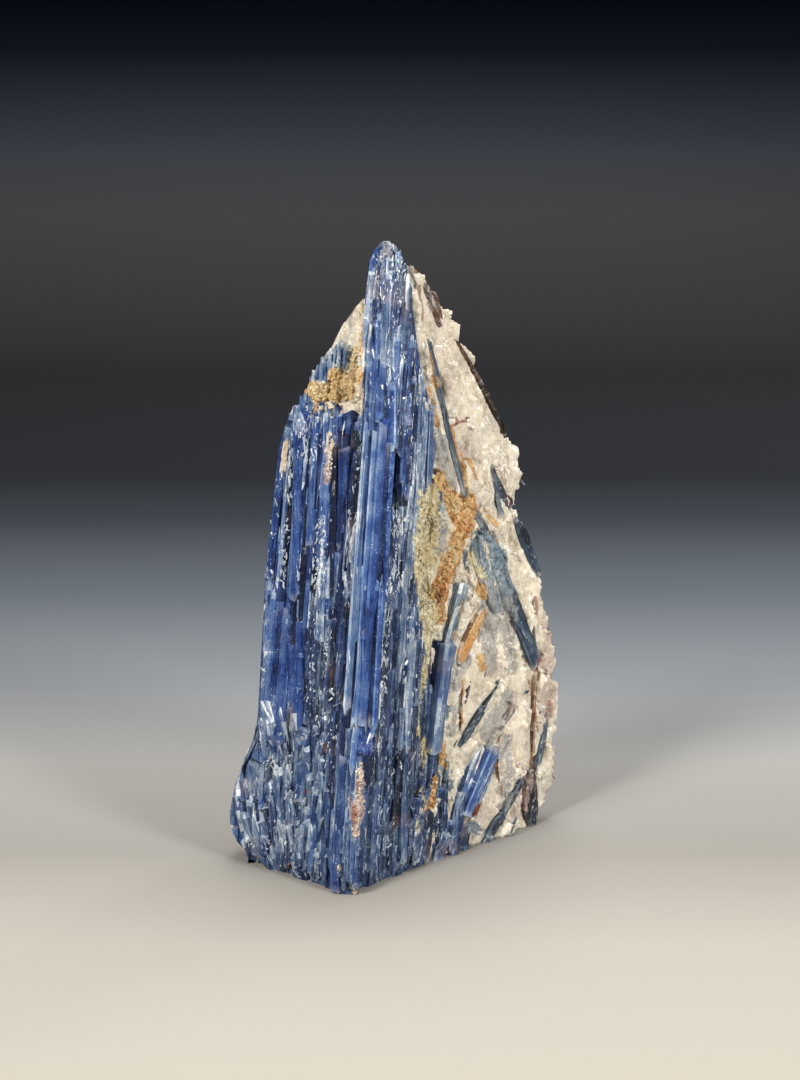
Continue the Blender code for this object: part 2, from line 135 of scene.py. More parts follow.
# Smooth faces of large crystals, which carry few thin blades: across, height, share left bare.
SMOOTH = {
    "crest": (
        ((-1.5, 6), (50, 138), 0.95),
    ),
    "right": (
        ((-1, 5.6), (50, 138), 0.95), ((9.3, 16), (114, 131), 0.6),
    ),
    "left": (
        ((-1, 1.6), (52, 138), 0.95), ((7.6, 12.0), (100, 130), 0.97), ((21, 36), (44, 76), 0.9),
        ((16, 20.5), (50, 84), 0.9), ((10, 16), (58, 84), 0.8), ((2.5, 7.4), (112, 136), 0.92),
        ((12.5, 23), (110, 132), 0.6), ((32.5, 37), (88, 134), 0.7), ((20, 30), (84, 130), 0.5),
    ),
}  # fmt: skip
# Shade of the blue crystal: across, height, tone (0 blue-black, 1 silver), spread, greyness. The last
# row that holds a place counts.
SHADES = {
    "left": (
        ((-2, 42), (0, 145), 0.48, 0.26, 0.15), ((33, 38), (90, 136), 0.4, 0.1, 0.1),
        ((29.5, 32.5), (92, 136), 0.76, 0.14, 0.4), ((24, 29), (84, 132), 0.5, 0.22, 0.0),
        ((16, 24), (98, 140), 0.54, 0.26, 0.1), ((16, 38), (128, 142), 0.68, 0.26, 0.4),
        ((13, 20), (84, 109), 0.76, 0.26, 0.5), ((7.6, 11.6), (101, 129), 0.25, 0.04, 0.0),
        ((2, 7.4), (112, 136), 0.24, 0.26, 1.0), ((3, 8), (84, 114), 0.78, 0.2, 0.7),
        ((3, 10), (56, 84), 0.34, 0.28, 0.5), ((10, 16), (56, 84), 0.64, 0.36, 0.9),
        ((16, 20.5), (48, 86), 0.34, 0.24, 0.5), ((20.5, 38), (42, 84), 0.42, 0.14, 0.1),
        ((8, 36), (36, 52), 0.36, 0.34, 0.75), ((20, 45), (0, 42), 0.54, 0.28, 0.7),
        ((8, 20), (0, 42), 0.56, 0.3, 0.7), ((0, 8), (0, 42), 0.46, 0.3, 0.6),
    ),
    "crest": (
        ((-8, 8), (-3, 50), 0.4, 0.28, 0.6), ((-8, 12), (134, 162), 0.5, 0.26, 0.35),
        ((-8, -2.0), (148, 180), 0.82, 0.14, 0.5), ((-3, 1), (150, 178), 0.4, 0.14, 0.1),
        ((1, 12), (158, 180), 0.4, 0.18, 0.6), ((-8, 12), (178, 192), 0.6, 0.3, 0.9),
    ),
    "right": (
        ((-2, 40), (0, 190), 0.42, 0.3, 0.7), ((-2, 6.4), (52, 139), 0.42, 0.06, 0.0),
        ((5.8, 9), (40, 112), 0.62, 0.36, 0.8), ((8, 22), (96, 114), 0.82, 0.3, 0.45),
        ((18, 24), (60, 96), 0.56, 0.3, 0.7), ((9, 15), (113, 130), 0.5, 0.36, 1.0),
        ((5, 20), (130, 158), 0.5, 0.26, 0.3), ((14, 24), (112, 152), 0.8, 0.16, 0.45),
        ((18.4, 21.4), (40, 78), 0.7, 0.1, 0.6), ((30, 38), (33, 68), 0.5, 0.08, 0.55),
    ),
    "flank": (
        ((-2, 16), (0, 140), 0.42, 0.28, 0.3),
    ),
}  # fmt: skip

# The share of a crystal's width that it has from its foot (-1) to its head (1).
OUTLINES = {
    "even": lambda t: 1.0,
    "spindle": lambda t: 0.25 + 0.75 * math.sqrt(max(0, 1 - t * t)),
    "point_up": lambda t: 0.12 + 0.88 * (1 - t) / 2,
    "point_down": lambda t: 0.12 + 0.88 * (1 + t) / 2,
}

# Rows of single crystals, here and below, hold (across, height) at foot and head, width, how proud the
# front stands, outline, tone, greyness and the number of strands along it.
# Large crystals of the fan.
PLANKS = {
    "crest": (
        ((-2.6, 54), (-1.7, 137), 3.2, 1.3, "even", 0.6, 0.15, 5),
        ((0.0, 50), (0.6, 138), 2.2, 1.6, "even", 0.5, 0.0, 4),
        ((2.0, 49), (2.6, 137), 2.8, 1.4, "even", 0.36, 0.0, 4),
        ((4.2, 51), (4.4, 134), 1.6, 0.8, "even", 0.14, 0.2, 4),
        ((-0.4, 36), (0.4, 53), 2.4, 1.3, "spindle", 0.66, 0.1, 4),
        ((-5.0, 146), (-3.8, 178), 1.8, 1.3, "spindle", 0.78, 0.5, 9),
        ((-3.7, 138), (-2.9, 166), 1.4, 1.2, "spindle", 0.7, 0.4, 7),
    ),
    "left": (
        ((9.6, 101), (9.6, 130), 4.4, 1.8, "point_down", 0.22, 0.0, 1),
        ((17.6, 48), (18.4, 84), 4.4, 0.9, "even", 0.28, 0.6, 5),
        ((25.4, 84), (27.2, 134), 3.6, 1.2, "even", 0.38, 0.0, 6),
        ((21.2, 100), (21.6, 138), 3.0, 1.0, "even", 0.5, 0.1, 6),
        ((35.2, 88), (34.4, 132), 3.0, 1.1, "even", 0.32, 0.0, 4),
        ((32.0, 86), (30.4, 132), 1.5, 1.2, "spindle", 0.64, 0.3, 8),
        ((22.4, 44), (23.4, 78), 8.0, 1.5, "point_up", 0.34, 0.0, 2),
        ((29.4, 40), (29.0, 80), 6.4, 1.4, "even", 0.38, 0.1, 3),
        ((35.0, 42), (33.6, 84), 4.4, 1.1, "spindle", 0.5, 0.2, 5),
        ((15.4, 100), (16.6, 129), 3.4, 1.0, "spindle", 0.48, 0.0, 3),
        ((6.4, 58), (6.0, 88), 3.4, 1.1, "spindle", 0.3, 0.5, 5),
        ((2.8, 1), (2.6, 41), 3.6, 1.4, "even", 0.34, 0.2, 3),
        ((9.4, 2), (8.0, 30), 3.6, 1.0, "spindle", 0.42, 0.4, 4),
        ((14.0, 4), (12.4, 36), 3.2, 1.0, "spindle", 0.5, 0.6, 4),
    ),
    "right": (
        ((20.0, 38), (20.2, 80), 2.8, 1.3, "spindle", 0.58, 0.5, 6),
        ((31.6, 35.6), (35.0, 68.2), 5.2, 2.2, "even", 0.54, 0.7, 5),
        ((9.0, 4), (8.6, 46), 2.8, 1.0, "spindle", 0.46, 0.5, 4),
        ((12.4, 48), (12.0, 96), 2.6, 1.0, "spindle", 0.28, 0.6, 4),
        ((16.0, 60), (16.2, 110), 2.2, 1.1, "spindle", 0.56, 0.7, 4),
        ((22.0, 4), (20.6, 40), 3.0, 1.0, "spindle", 0.36, 0.6, 4),
    ),
}  # fmt: skip
# The largest crystals of the bulge at the left foot.
BULGE = (
    ((43.0, 11), (43.6, 29), 6.4, 2.0, "spindle", 0.36, 0.6, 5),
    ((36.6, 3.4), (38.6, 18), 5.0, 1.6, "spindle", 0.36, 0.5, 5),
    ((33.6, 19), (34.6, 29), 3.4, 2.0, "spindle", 0.46, 0.0, 3),
    ((18.4, 24), (18.0, 46), 4.4, 1.8, "even", 0.42, 0.5, 6),
    ((26.6, 2), (27.0, 20), 4.0, 1.7, "spindle", 0.38, 0.7, 6),
    ((13.6, 4), (12.6, 28), 4.2, 1.5, "spindle", 0.4, 0.4, 6),
)  # fmt: skip
# Jagged pale crystals in the notch, whose heads stand on the outline above the golden ledge.
NOTCH = (
    ((28.4, 136), (28.0, 142.4), 1.8, 0.9, "point_up", 0.58, 0.3, 3),
    ((26.8, 138), (26.4, 145.4), 1.7, 1.1, "spindle", 0.68, 0.4, 3),
    ((25.4, 140), (24.8, 149.0), 1.8, 0.8, "point_up", 0.54, 0.2, 3),
    ((23.8, 142), (23.2, 151.4), 1.6, 1.2, "spindle", 0.74, 0.6, 3),
    ((22.4, 145), (21.8, 153.0), 1.9, 0.9, "point_up", 0.6, 0.3, 3),
    ((20.8, 146), (20.2, 155.4), 1.7, 1.1, "spindle", 0.7, 0.5, 3),
    ((19.2, 148), (18.6, 156.4), 1.8, 0.8, "point_up", 0.56, 0.2, 3),
    ((17.6, 149), (17.0, 158.2), 1.6, 1.1, "spindle", 0.74, 0.6, 3),
    ((16.0, 151), (15.4, 159.0), 1.8, 0.8, "point_up", 0.58, 0.3, 3),
    ((14.2, 152), (13.8, 160.8), 1.6, 1.0, "spindle", 0.68, 0.5, 3),
    ((12.4, 152), (12.0, 159.6), 1.5, 0.6, "spindle", 0.62, 0.6, 3),
)  # fmt: skip
# Embedded crystals: node, finish, slot, face and rows.
CRYSTALS = (
    ("crown_crystal", "rusty", "kyanite_rusty", "right", (
        ((24.6, 163.5), (17.0, 177.5), 3.4, 1.3, "spindle", 0.54, 0.3, 12),
        ((20.6, 168), (13.4, 182), 3.2, 1.3, "spindle", 0.66, 0.35, 12),
        ((27.4, 165), (22.4, 174), 2.0, 1.0, "spindle", 0.5, 0.2, 8),
        ((15.6, 175), (10.0, 183), 2.6, 1.2, "spindle", 0.7, 0.7, 7),
    )),
    ("rim_crystal", "rusty", "kyanite_rusty", "right", (
        ((57.8, 127.6), (43.6, 146), 1.6, 1.3, "even", 0.16, 0.3, 12),
        ((45.6, 143.6), (32.2, 159), 1.5, 1.2, "spindle", 0.34, 0.1, 10),
    )),
    ("seam_crystal", "slate", "kyanite_slate", "right", (
        ((40.6, 111), (28.6, 139), 2.3, 1.0, "spindle", 0.4, 0.7, 7),
        ((31.4, 133), (20.2, 160), 2.4, 1.0, "spindle", 0.48, 0.8, 6),
    )),
    ("side_crystal", "slate", "kyanite_slate", "right", (
        ((60.6, 103.4), (51.6, 118.8), 7.4, 1.3, "point_up", 0.3, 1.0, 5),
        ((77.6, 81.0), (64.4, 101), 4.2, 1.3, "spindle", 0.16, 0.3, 10),
    )),
    ("grey_crystal", "slate", "kyanite_slate", "right", (
        ((38.0, 66.0), (42.6, 84), 4.8, 1.9, "even", 0.64, 0.5, 5),
    )),
    ("stained_crystal", "rusty", "kyanite_rusty", "right", (
        ((42.6, 59.5), (53.4, 75.0), 5.2, 1.1, "spindle", 0.72, 0.0, 9),
    )),
    ("diagonal_crystal", "slate", "kyanite_slate", "right", (
        ((46.4, 33.4), (56.0, 44.2), 3.2, 1.1, "spindle", 0.26, 0.7, 9),
        ((52.6, 40.6), (62.6, 50.8), 1.6, 1.1, "point_up", 0.18, 1.0, 6),
    )),
    ("needle_crystal", "rusty", "kyanite_rusty", "right", (
        ((81.4, 17.5), (77.6, 55.5), 0.4, 1.9, "spindle", 0.7, 0.0, 4),
    )),
    ("jagged_crystal", "slate", "kyanite_slate", "right", (
        ((84.2, 19), (87.4, 35), 2.6, 1.2, "spindle", 0.4, 0.9, 9),
        ((83.0, 17), (84.6, 29), 1.6, 1.2, "spindle", 0.3, 0.9, 6),
    )),
    ("low_crystal", "slate", "kyanite_slate", "right", (
        ((60.2, -0.6), (69.6, 8.2), 4.4, 1.1, "spindle", 0.38, 0.6, 10),
        ((66.4, 5.0), (79.4, 17.2), 3.2, 1.2, "spindle", 0.34, 1.0, 12),
    )),
    ("corner_crystal", "rusty", "kyanite_slate", "right", (
        ((82.0, -0.4), (80.4, 18.4), 6.8, 1.9, "spindle", 0.14, 0.7, 16),
    )),
    ("kyanite_foot_cluster", "royal", "kyanite_slate", "right", (
        ((40.2, -2), (40.6, 30), 5.4, 1.0, "point_up", 0.34, 0.6, 12),
        ((45.4, -2), (47.2, 19), 6.0, 1.4, "spindle", 0.34, 0.7, 12),
        ((51.4, -2), (51.6, 8), 5.6, 0.8, "even", 0.3, 0.8, 9),
        ((46.4, 13.2), (56.4, 31.0), 4.0, 1.5, "spindle", 0.6, 0.4, 4),
        ((49.6, 11.6), (60.0, 30.4), 4.0, 1.8, "even", 0.46, 0.0, 3),
        ((53.0, 12.0), (62.6, 28.6), 3.0, 1.5, "spindle", 0.56, 0.5, 4),
    )),
    ("kyanite_seam_cluster", "slate", "kyanite_slate", "right", (
        ((78.6, 52.4), (60.4, 82), 5.4, 1.8, "even", 0.36, 0.4, 6),
        ((67.4, 71), (50.2, 99), 5.6, 1.6, "spindle", 0.46, 0.5, 9),
        ((59.4, 73), (49.0, 98), 7.0, 1.5, "spindle", 0.56, 0.5, 16),
        ((55.0, 78), (46.4, 96), 5.4, 1.4, "spindle", 0.48, 0.6, 14),
        ((64.6, 73), (54.4, 92), 5.0, 1.4, "spindle", 0.6, 0.5, 14),
        ((47.6, 86.6), (44.0, 94.0), 3.2, 1.2, "spindle", 0.26, 0.8, 6),
        ((56.6, 94.5), (39.4, 114), 2.8, 1.3, "spindle", 0.44, 0.8, 12),
    )),
    ("back_crystal_low", "royal", "kyanite_slate", "back", (
        ((8, 22), (17, 71), 5.4, 1.0, "spindle", 0.42, 0.3, 24),
    )),
    ("back_crystal_high", "slate", "kyanite_slate", "back", (
        ((29, 80), (20, 117), 3.6, 0.9, "spindle", 0.4, 0.6, 16),
    )),
    ("back_crystal_side", "royal", "kyanite_slate", "rear", (
        ((14, 50), (23, 88), 4.2, 1.0, "point_up", 0.38, 0.4, 18),
    )),
)  # fmt: skip
# Thin dark and rusty slivers in the right face of the quartz.
SLIVERS = (
    ((45.2, 38.6), (44.8, 51.8), 1.5, 0.8, "spindle", 0.36, 0.0, 7),
    ((63.8, 31), (70, 42.2), 0.9, 0.9, "spindle", 0.4, 0.0, 6),
    ((77.8, 55.5), (76.2, 73.4), 0.8, 0.8, "spindle", 0.44, 0.4, 5),
    ((60.8, 18.4), (62.2, 26.4), 0.9, 0.7, "spindle", 0.36, 0.0, 5),
    ((52.8, 11), (60, 17.6), 1.0, 0.9, "spindle", 0.38, 0.0, 6),
    ((66.6, 13.4), (64.8, 24.4), 0.8, 0.6, "spindle", 0.4, 0.0, 5),
    ((47.4, 45.6), (49.4, 55), 1.0, 0.7, "spindle", 0.3, 0.6, 5),
    ((33.2, 132.6), (41, 134.8), 0.7, 0.6, "spindle", 0.42, 0.0, 5),
    ((36.4, 30), (34.6, 44), 1.6, 0.8, "spindle", 0.4, 0.5, 8),
)  # fmt: skip
# Where small ones are scattered: face, how far across, how high.
SLIVER_REACH = (("right", 88, 60), ("right", 60, 100), ("rear", 40, 140), ("back", 50, 160))
# Crusts of coarse stained grains: face, (across, height) at both ends, spread, number, sizes.
CRUSTS = (
    ("left", (24.5, 145.5), (15, 143.5), 2.6, 240, (0.5, 1.9)),
    ("left", (14.6, 150), (11, 146), 3.4, 260, (0.5, 1.8)),
    ("left", (9.8, 158), (9, 149), 1.4, 70, (0.5, 1.2)),
    ("right", (23.7, 112), (24.7, 92), 4.0, 330, (0.3, 0.95)),
    ("right", (24.9, 92), (28.9, 70), 3.2, 300, (0.3, 0.95)),
    ("right", (28.2, 72), (26.8, 54), 1.3, 90, (0.3, 0.8)),
    ("right", (29.6, 118), (41.0, 103), 2.0, 100, (0.4, 1.4)),
    ("right", (42.4, 107), (38.5, 98), 4.2, 140, (0.5, 2.4)),
    ("right", (38.6, 97), (33.6, 84), 2.9, 130, (0.5, 2.2)),
    ("right", (33.4, 82), (35.6, 75), 2.3, 110, (0.4, 1.2)),
    ("right", (37.6, 36), (38.8, 31), 1.4, 40, (0.5, 1.2)),
    ("right", (34.2, 27), (32.4, 19), 1.2, 40, (0.5, 1.2)),
    ("crest", (2.1, 39), (1.7, 18), 0.9, 170, (0.4, 1.1)),
    ("crest", (2.4, 28), (2.2, 24.6), 1.4, 60, (0.6, 1.5)),
    ("left", (14.6, 132), (15.2, 120), 1.0, 60, (0.5, 1.1)),
    ("left", (5.4, 172), (4.6, 142), 0.9, 90, (0.4, 1.2)),
)  # fmt: skip
# The stains in the order that they cover each other, as dark and pale grains, the colour that patches
# lean to, and how much they cover.
STAIN_COLOURS = {
    "haze": ((0.035, 0.065, 0.10), (0.50, 0.59, 0.62), (0.10, 0.16, 0.22), 0.9),
    "clear": ((0.20, 0.20, 0.21), (0.52, 0.51, 0.50), (0.36, 0.35, 0.33), 0.7),
    "pink": ((0.30, 0.17, 0.13), (0.84, 0.68, 0.61), (0.50, 0.31, 0.25), 0.55),
    "cream": ((0.55, 0.44, 0.30), (0.90, 0.84, 0.70), (0.80, 0.62, 0.38), 0.9),
    "moss": ((0.26, 0.19, 0.07), (1.0, 0.93, 0.66), (0.70, 0.55, 0.26), 0.9),
    "ochre": ((0.34, 0.14, 0.028), (1.0, 0.68, 0.30), (0.60, 0.25, 0.05), 0.9),
    "gold": ((0.40, 0.21, 0.05), (1.0, 0.86, 0.54), (0.80, 0.50, 0.17), 0.9),
    "rust": ((0.08, 0.012, 0.005), (0.46, 0.13, 0.035), (0.30, 0.06, 0.015), 0.7),
}
# Where they lie: kind, face, and rows of (across, height) at both ends, radius, strength.
STAINS = (
    # golden ledge in the notch, and the cream strip beside the tip
    ("gold", "left", ((24, 145.4), (14, 145), 2.8, 1.0), ((15, 149.6), (11, 146), 3.0, 1.0),
     ((10, 158), (9, 149), 1.6, 0.9)),
    ("ochre", "left", ((25.6, 147), (22, 143), 1.8, 0.7), ((5.0, 172), (3.6, 146), 0.6, 0.7)),
    ("cream", "left", ((7.4, 172), (5.6, 141), 1.9, 1.0)),
    ("clear", "crest", ((-0.2, 191), (0.2, 187.5), 1.9, 0.7)),
    ("cream", "crest", ((0, 191), (0.2, 189.6), 0.8, 0.6)),
    ("rust", "left", ((7.2, 178), (7.0, 170), 0.55, 0.8)),
    # pink and rusty lenses in the left face
    ("cream", "left", ((15.4, 133), (15.0, 128), 1.7, 0.8), ((32.2, 129), (33.0, 121), 1.3, 0.7)),
    ("pink", "left", ((14.6, 129), (15.2, 120), 1.4, 1.0), ((4.2, 96), (4.6, 89), 1.0, 0.5)),
    ("rust", "left", ((16.0, 122), (16.2, 119.5), 0.35, 0.8), ((15.8, 28), (15.4, 23), 0.55, 0.8),
     ((24, 17.5), (21, 17.5), 0.44, 0.8), ((26, 9), (22, 1), 0.66, 0.7),
     ((11.6, 48), (11.4, 45), 0.39, 0.6), ((25, 46), (23, 44), 0.39, 0.6)),
    # rusty vein with a pale nodule near the foot of the ridge
    ("pink", "crest", ((2.3, 39), (1.8, 18), 0.8, 1.0), ((2.4, 27.6), (2.2, 24.6), 2.2, 1.0)),
    ("rust", "crest", ((1.6, 36), (1.4, 18), 0.6, 0.5), ((1.4, 27), (1.5, 22.6), 1.3, 0.55)),
    ("moss", "crest", ((-1.5, 7), (3, 0), 3.4, 0.42)),
    ("moss", "right", ((27, 30), (31, 10), 2.4, 0.42)),
    ("clear", "crest", ((3.2, 27.6), (3.2, 25.6), 1.2, 0.8)),
    # green-yellow granular column, the orange band beside it and smaller patches
    ("moss", "right", ((24.2, 112), (25.2, 92), 5.8, 1.0), ((25.6, 92), (29.2, 72), 4.6, 1.0),
     ((28.4, 72), (27.0, 58), 1.7, 0.8), ((26.6, 62), (25.0, 42), 1.1, 0.55),
     ((29.0, 40), (27.0, 12), 1.4, 0.4), ((39, 118), (48, 100), 1.0, 0.6),
     ((60, 88), (73, 66), 0.7, 0.5)),
    ("ochre", "right", ((29.6, 118), (41.0, 103), 2.6, 1.0), ((42.4, 107), (38.5, 98), 5.2, 1.0),
     ((38.6, 97), (33.6, 84), 3.6, 1.0), ((33.4, 82), (35.6, 75), 2.6, 0.9),
     ((52.6, 73.4), (43.8, 61.6), 2.0, 1.0), ((50.0, 82), (52.4, 79), 1.8, 0.9),
     ((52, 60), (53.6, 56), 1.6, 0.8), ((46, 54), (45.4, 41), 1.0, 0.7),
     ((37.6, 36), (38.8, 31), 1.8, 0.9), ((34.2, 27), (32.4, 19), 1.5, 0.9),
     ((22.4, 149), (24.8, 139), 0.6, 0.8), ((25.4, 138), (27.4, 134), 0.8, 0.8),
     ((57, 99.6), (50.8, 106), 0.8, 0.7), ((44.6, 116), (39.0, 124), 0.6, 0.8),
     ((19.4, 160), (27.4, 139), 0.4, 0.7), ((33.4, 133), (42.4, 113), 0.5, 0.8),
     ((43.0, 112), (58.4, 94), 0.5, 0.8), ((41.8, 84), (40.4, 68), 0.4, 0.7)),
    ("gold", "right", ((33, 114), (40, 104), 1.4, 0.8), ((40.6, 100), (36, 90), 1.6, 0.7)),
    ("rust", "right", ((36, 88), (32, 78), 0.88, 0.7), ((33.6, 21), (31.4, 15), 0.55, 0.9)),
    ("cream", "right", ((36, 112), (31, 104), 2.0, 0.7), ((33, 92), (29, 80), 1.4, 0.6),
     ((28, 76), (26, 60), 1.4, 0.5)),
    ("pink", "right", ((40, 90), (36.4, 84), 1.8, 0.8)),
    # rust lines and pink blushes in the quartz
    ("rust", "right", ((33.3, 133.0), (40.3, 134.6), 0.39, 1.0), ((29, 137), (36, 135), 0.66, 0.6),
     ((15.4, 176), (17.6, 166), 0.61, 0.9), ((12.2, 184), (15, 181), 0.66, 0.7),
     ((53, 119), (63, 105), 0.44, 0.8), ((77, 74), (78.6, 68), 0.55, 0.9),
     ((79.4, 55), (78.0, 51.6), 1.0, 1.0), ((78.4, 52.4), (82, 55), 0.66, 0.9),
     ((69.9, 41.9), (63.9, 31.2), 0.39, 1.0), ((62, 26), (60.6, 19), 0.44, 1.0),
     ((60.4, 18), (52.4, 11), 0.61, 0.9), ((65, 24), (66.4, 14), 0.39, 0.8),
     ((72, 27), (72.6, 21), 0.44, 0.7), ((79.6, 22), (82, 18), 0.66, 0.7),
     ((88, 44), (86.6, 38), 0.72, 0.5), ((81, 61), (86, 61.5), 0.35, 0.7)),
    ("pink", "right", ((22, 152), (30, 146), 3.6, 0.5), ((36, 126), (46, 122), 2.4, 0.7),
     ((54, 119), (62, 109), 2.0, 0.5), ((84, 62), (86, 34), 4.0, 0.6), ((80, 16), (76, 5), 3.0, 0.6)),
    ("moss", "right", ((46, 92), (52, 84), 1.6, 0.7)),
    ("cream", "right", ((50, 95), (56, 82), 0.9, 0.7)),
    ("rust", "rear", ((6, 30), (10, 60), 0.66, 0.6)),
    ("rust", "back", ((14, 40), (10, 66), 0.61, 0.7), ((36, 18), (30, 34), 0.77, 0.7)),
    ("ochre", "back", ((26, 96), (30, 112), 3.0, 0.7), ((36, 120), (34, 140), 3.2, 0.7)),
    ("pink", "back", ((30, 30), (12, 60), 9.0, 0.4)),
    # blue crystal that shows through the quartz as a frosty haze
    ("haze", "right", ((59, 76), (49, 97), 4.6, 0.9), ((64, 80), (56, 96), 2.4, 0.7),
     ((38, 34), (43, 22), 2.4, 0.6), ((38.4, 62), (37.6, 44), 1.5, 0.7),
     ((31.4, 113), (30.6, 99), 1.7, 0.8), ((24, 140), (30, 126), 0.9, 0.6), ((51, 8), (62, 2), 2.4, 0.6),
     ((68, 13), (76, 20), 1.4, 0.5)),
    # clear grey quartz
    ("clear", "right", ((67.4, 43.0), (59.9, 34.0), 4.2, 1.0), ((54, 80), (57, 58), 4.6, 0.8),
     ((63, 76), (66, 54), 3.6, 0.7), ((28, 130), (34, 116), 3.4, 0.7), ((66, 30), (70, 12), 5.0, 0.6),
     ((46, 62), (42, 54), 3.4, 0.8), ((30, 106), (32, 96), 2.6, 0.8), ((44, 47), (40, 40), 2.6, 0.7)),
    ("clear", "left", ((11, 170), (12, 162), 2.4, 0.3)),
)  # fmt: skip
STAIN_REACH = 9  # how far before and behind the face a stain still shows

# How far the blades may stand out past the left edge, and the quartz past the back of the seam: height,
# millimetres.
OVERHANG = [(0, 1.2), (6, 2.4), (9, 3.2), (14, 3.3), (20, 1.8), (26, 0.9), (32, 0.0), (38, -1.4), (60, -1.6),
            (72, -0.8), (86, 0.2)]
SEAM_OVERHANG = [(138, -1.5), (143, -3.0), (151, -2.6), (156, -1.4), (165, -2.8), (170, -0.8)]


# ---------------------------------------------------------------- places on the wedge


def along(line, z):
    """The point of an upright edge at height z."""
    below = max((p for p in line if p[0] <= z), default=line[0])
    above = min((p for p in line if p[0] >= z), default=line[-1])
    share = 0 if above[0] == below[0] else (z - below[0]) / (above[0] - below[0])
    x, y = Vector(below[1:]).lerp(Vector(above[1:]), share)
    return Vector((x, y, z))


def on_face(face, across, z):
    """A point on a face of the wedge, and the level direction that the face looks in."""
    start, end = FACES[face]
    way = (along(end, z) - along(start, z)).normalized() if end else Vector((1, 0, 0))
    outwards = way.cross(UP)
    if face in ("left", "flank"):
        outwards.negate()
    return along(start, z) + way * across + CENTRE, outwards


def leaning(outwards, angle):
    """The direction in a face that leans from upright by an angle."""
    return UP * math.cos(angle) + outwards.cross(UP) * math.sin(angle)


def seam_reach(z):
    """How far the blue crystal reaches from the ridge on the right face."""
    return (along(SEAM_FRONT, z) - along(RIDGE, z)).length


def inside(value, limits):
    return limits[0] <= value <= limits[1]


def held(value, low=0, high=1):
    """The value, kept between two limits."""
    return min(high, max(low, value))


def shade_at(face, across, z):
    """Tone, spread and greyness of the blue crystal at a place."""
    found = SHADES["left"][0]
    for row in SHADES.get(face, ()):
        if inside(across, row[0]) and inside(z, row[1]):
            found = row
    return found[2:]


def bareness(face, across, z):
    """The share of thin blades that a smooth crystal face does without."""
    rows = [row for row in SMOOTH.get(face, ()) if inside(across, row[0]) and inside(z, row[1])]
    return max((row[2] for row in rows), default=0)


def column_tone(face, across, z):
    """Darker and paler columns that run along the grain."""
    seed = 40 * list(FACES).index(face)
    wide = noise.noise(Vector((across / 3.8, z / 60, seed)))
    fine = noise.noise(Vector((across / 1.2, z / 40, seed + 9)))
    return 0.5 * wide + 0.2 * fine


# ---------------------------------------------------------------- meshes and surfaces


def as_mesh(bm, name):
    mesh = bpy.data.meshes.new(name)
    bm.to_mesh(mesh)
    bm.free()
    return mesh


def add_object(name, data):
    obj = bpy.data.objects.new(name, data)
    bpy.context.scene.collection.objects.link(obj)
    return obj


def merged(name):
    """A node's mesh in millimetres, with its loose triangles joined."""
    bm = bmesh.new()
    bm.from_mesh(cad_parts[name].data)
    bmesh.ops.scale(bm, vec=(MM, MM, MM), verts=bm.verts)
    bmesh.ops.remove_doubles(bm, verts=bm.verts, dist=0.001)
    return bm


def search_tree(meshes, scale=1):
    """The surface of several meshes together, for rays and distances."""
    whole = bmesh.new()
    for mesh in meshes:
        whole.from_mesh(mesh)
    bmesh.ops.scale(whole, vec=(scale, scale, scale), verts=whole.verts)
    tree = BVHTree.FromBMesh(whole)
    whole.free()
    return tree


def skin(*names):
    """The surface of nodes of the frame, in millimetres."""
    return search_tree([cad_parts[name].data for name in names], MM)


class DrawnSkin:
    """The surface of finished pieces, which are in metres, for places in millimetres."""

    def __init__(self, *names):
        self.tree = search_tree([bpy.data.objects[name].data for name in names])

    def ray_cast(self, origin, direction, distance):
        place, *others = self.tree.ray_cast(origin * 0.001, direction, distance * 0.001)
        return (place * MM if place else None, *others)

    def gap(self, place, reach):
        """The distance from a place to the surface, or None past the reach."""
        found = self.tree.find_nearest(place / MM, reach / MM)[3]
        return None if found is None else found * MM


def land(surface, point, outwards):
    """Where a ray into the face from outside meets a surface, or None."""
    return surface.ray_cast(point + outwards * LANDING, -outwards, 2 * LANDING)[0]


def spot(surface, face, across, z):
    """Where a place of a face lies on a surface, or None, and the direction that the face looks in."""
    point, outwards = on_face(face, across, z)
    return land(surface, point, outwards), outwards


# ---------------------------------------------------------------- blades and grains


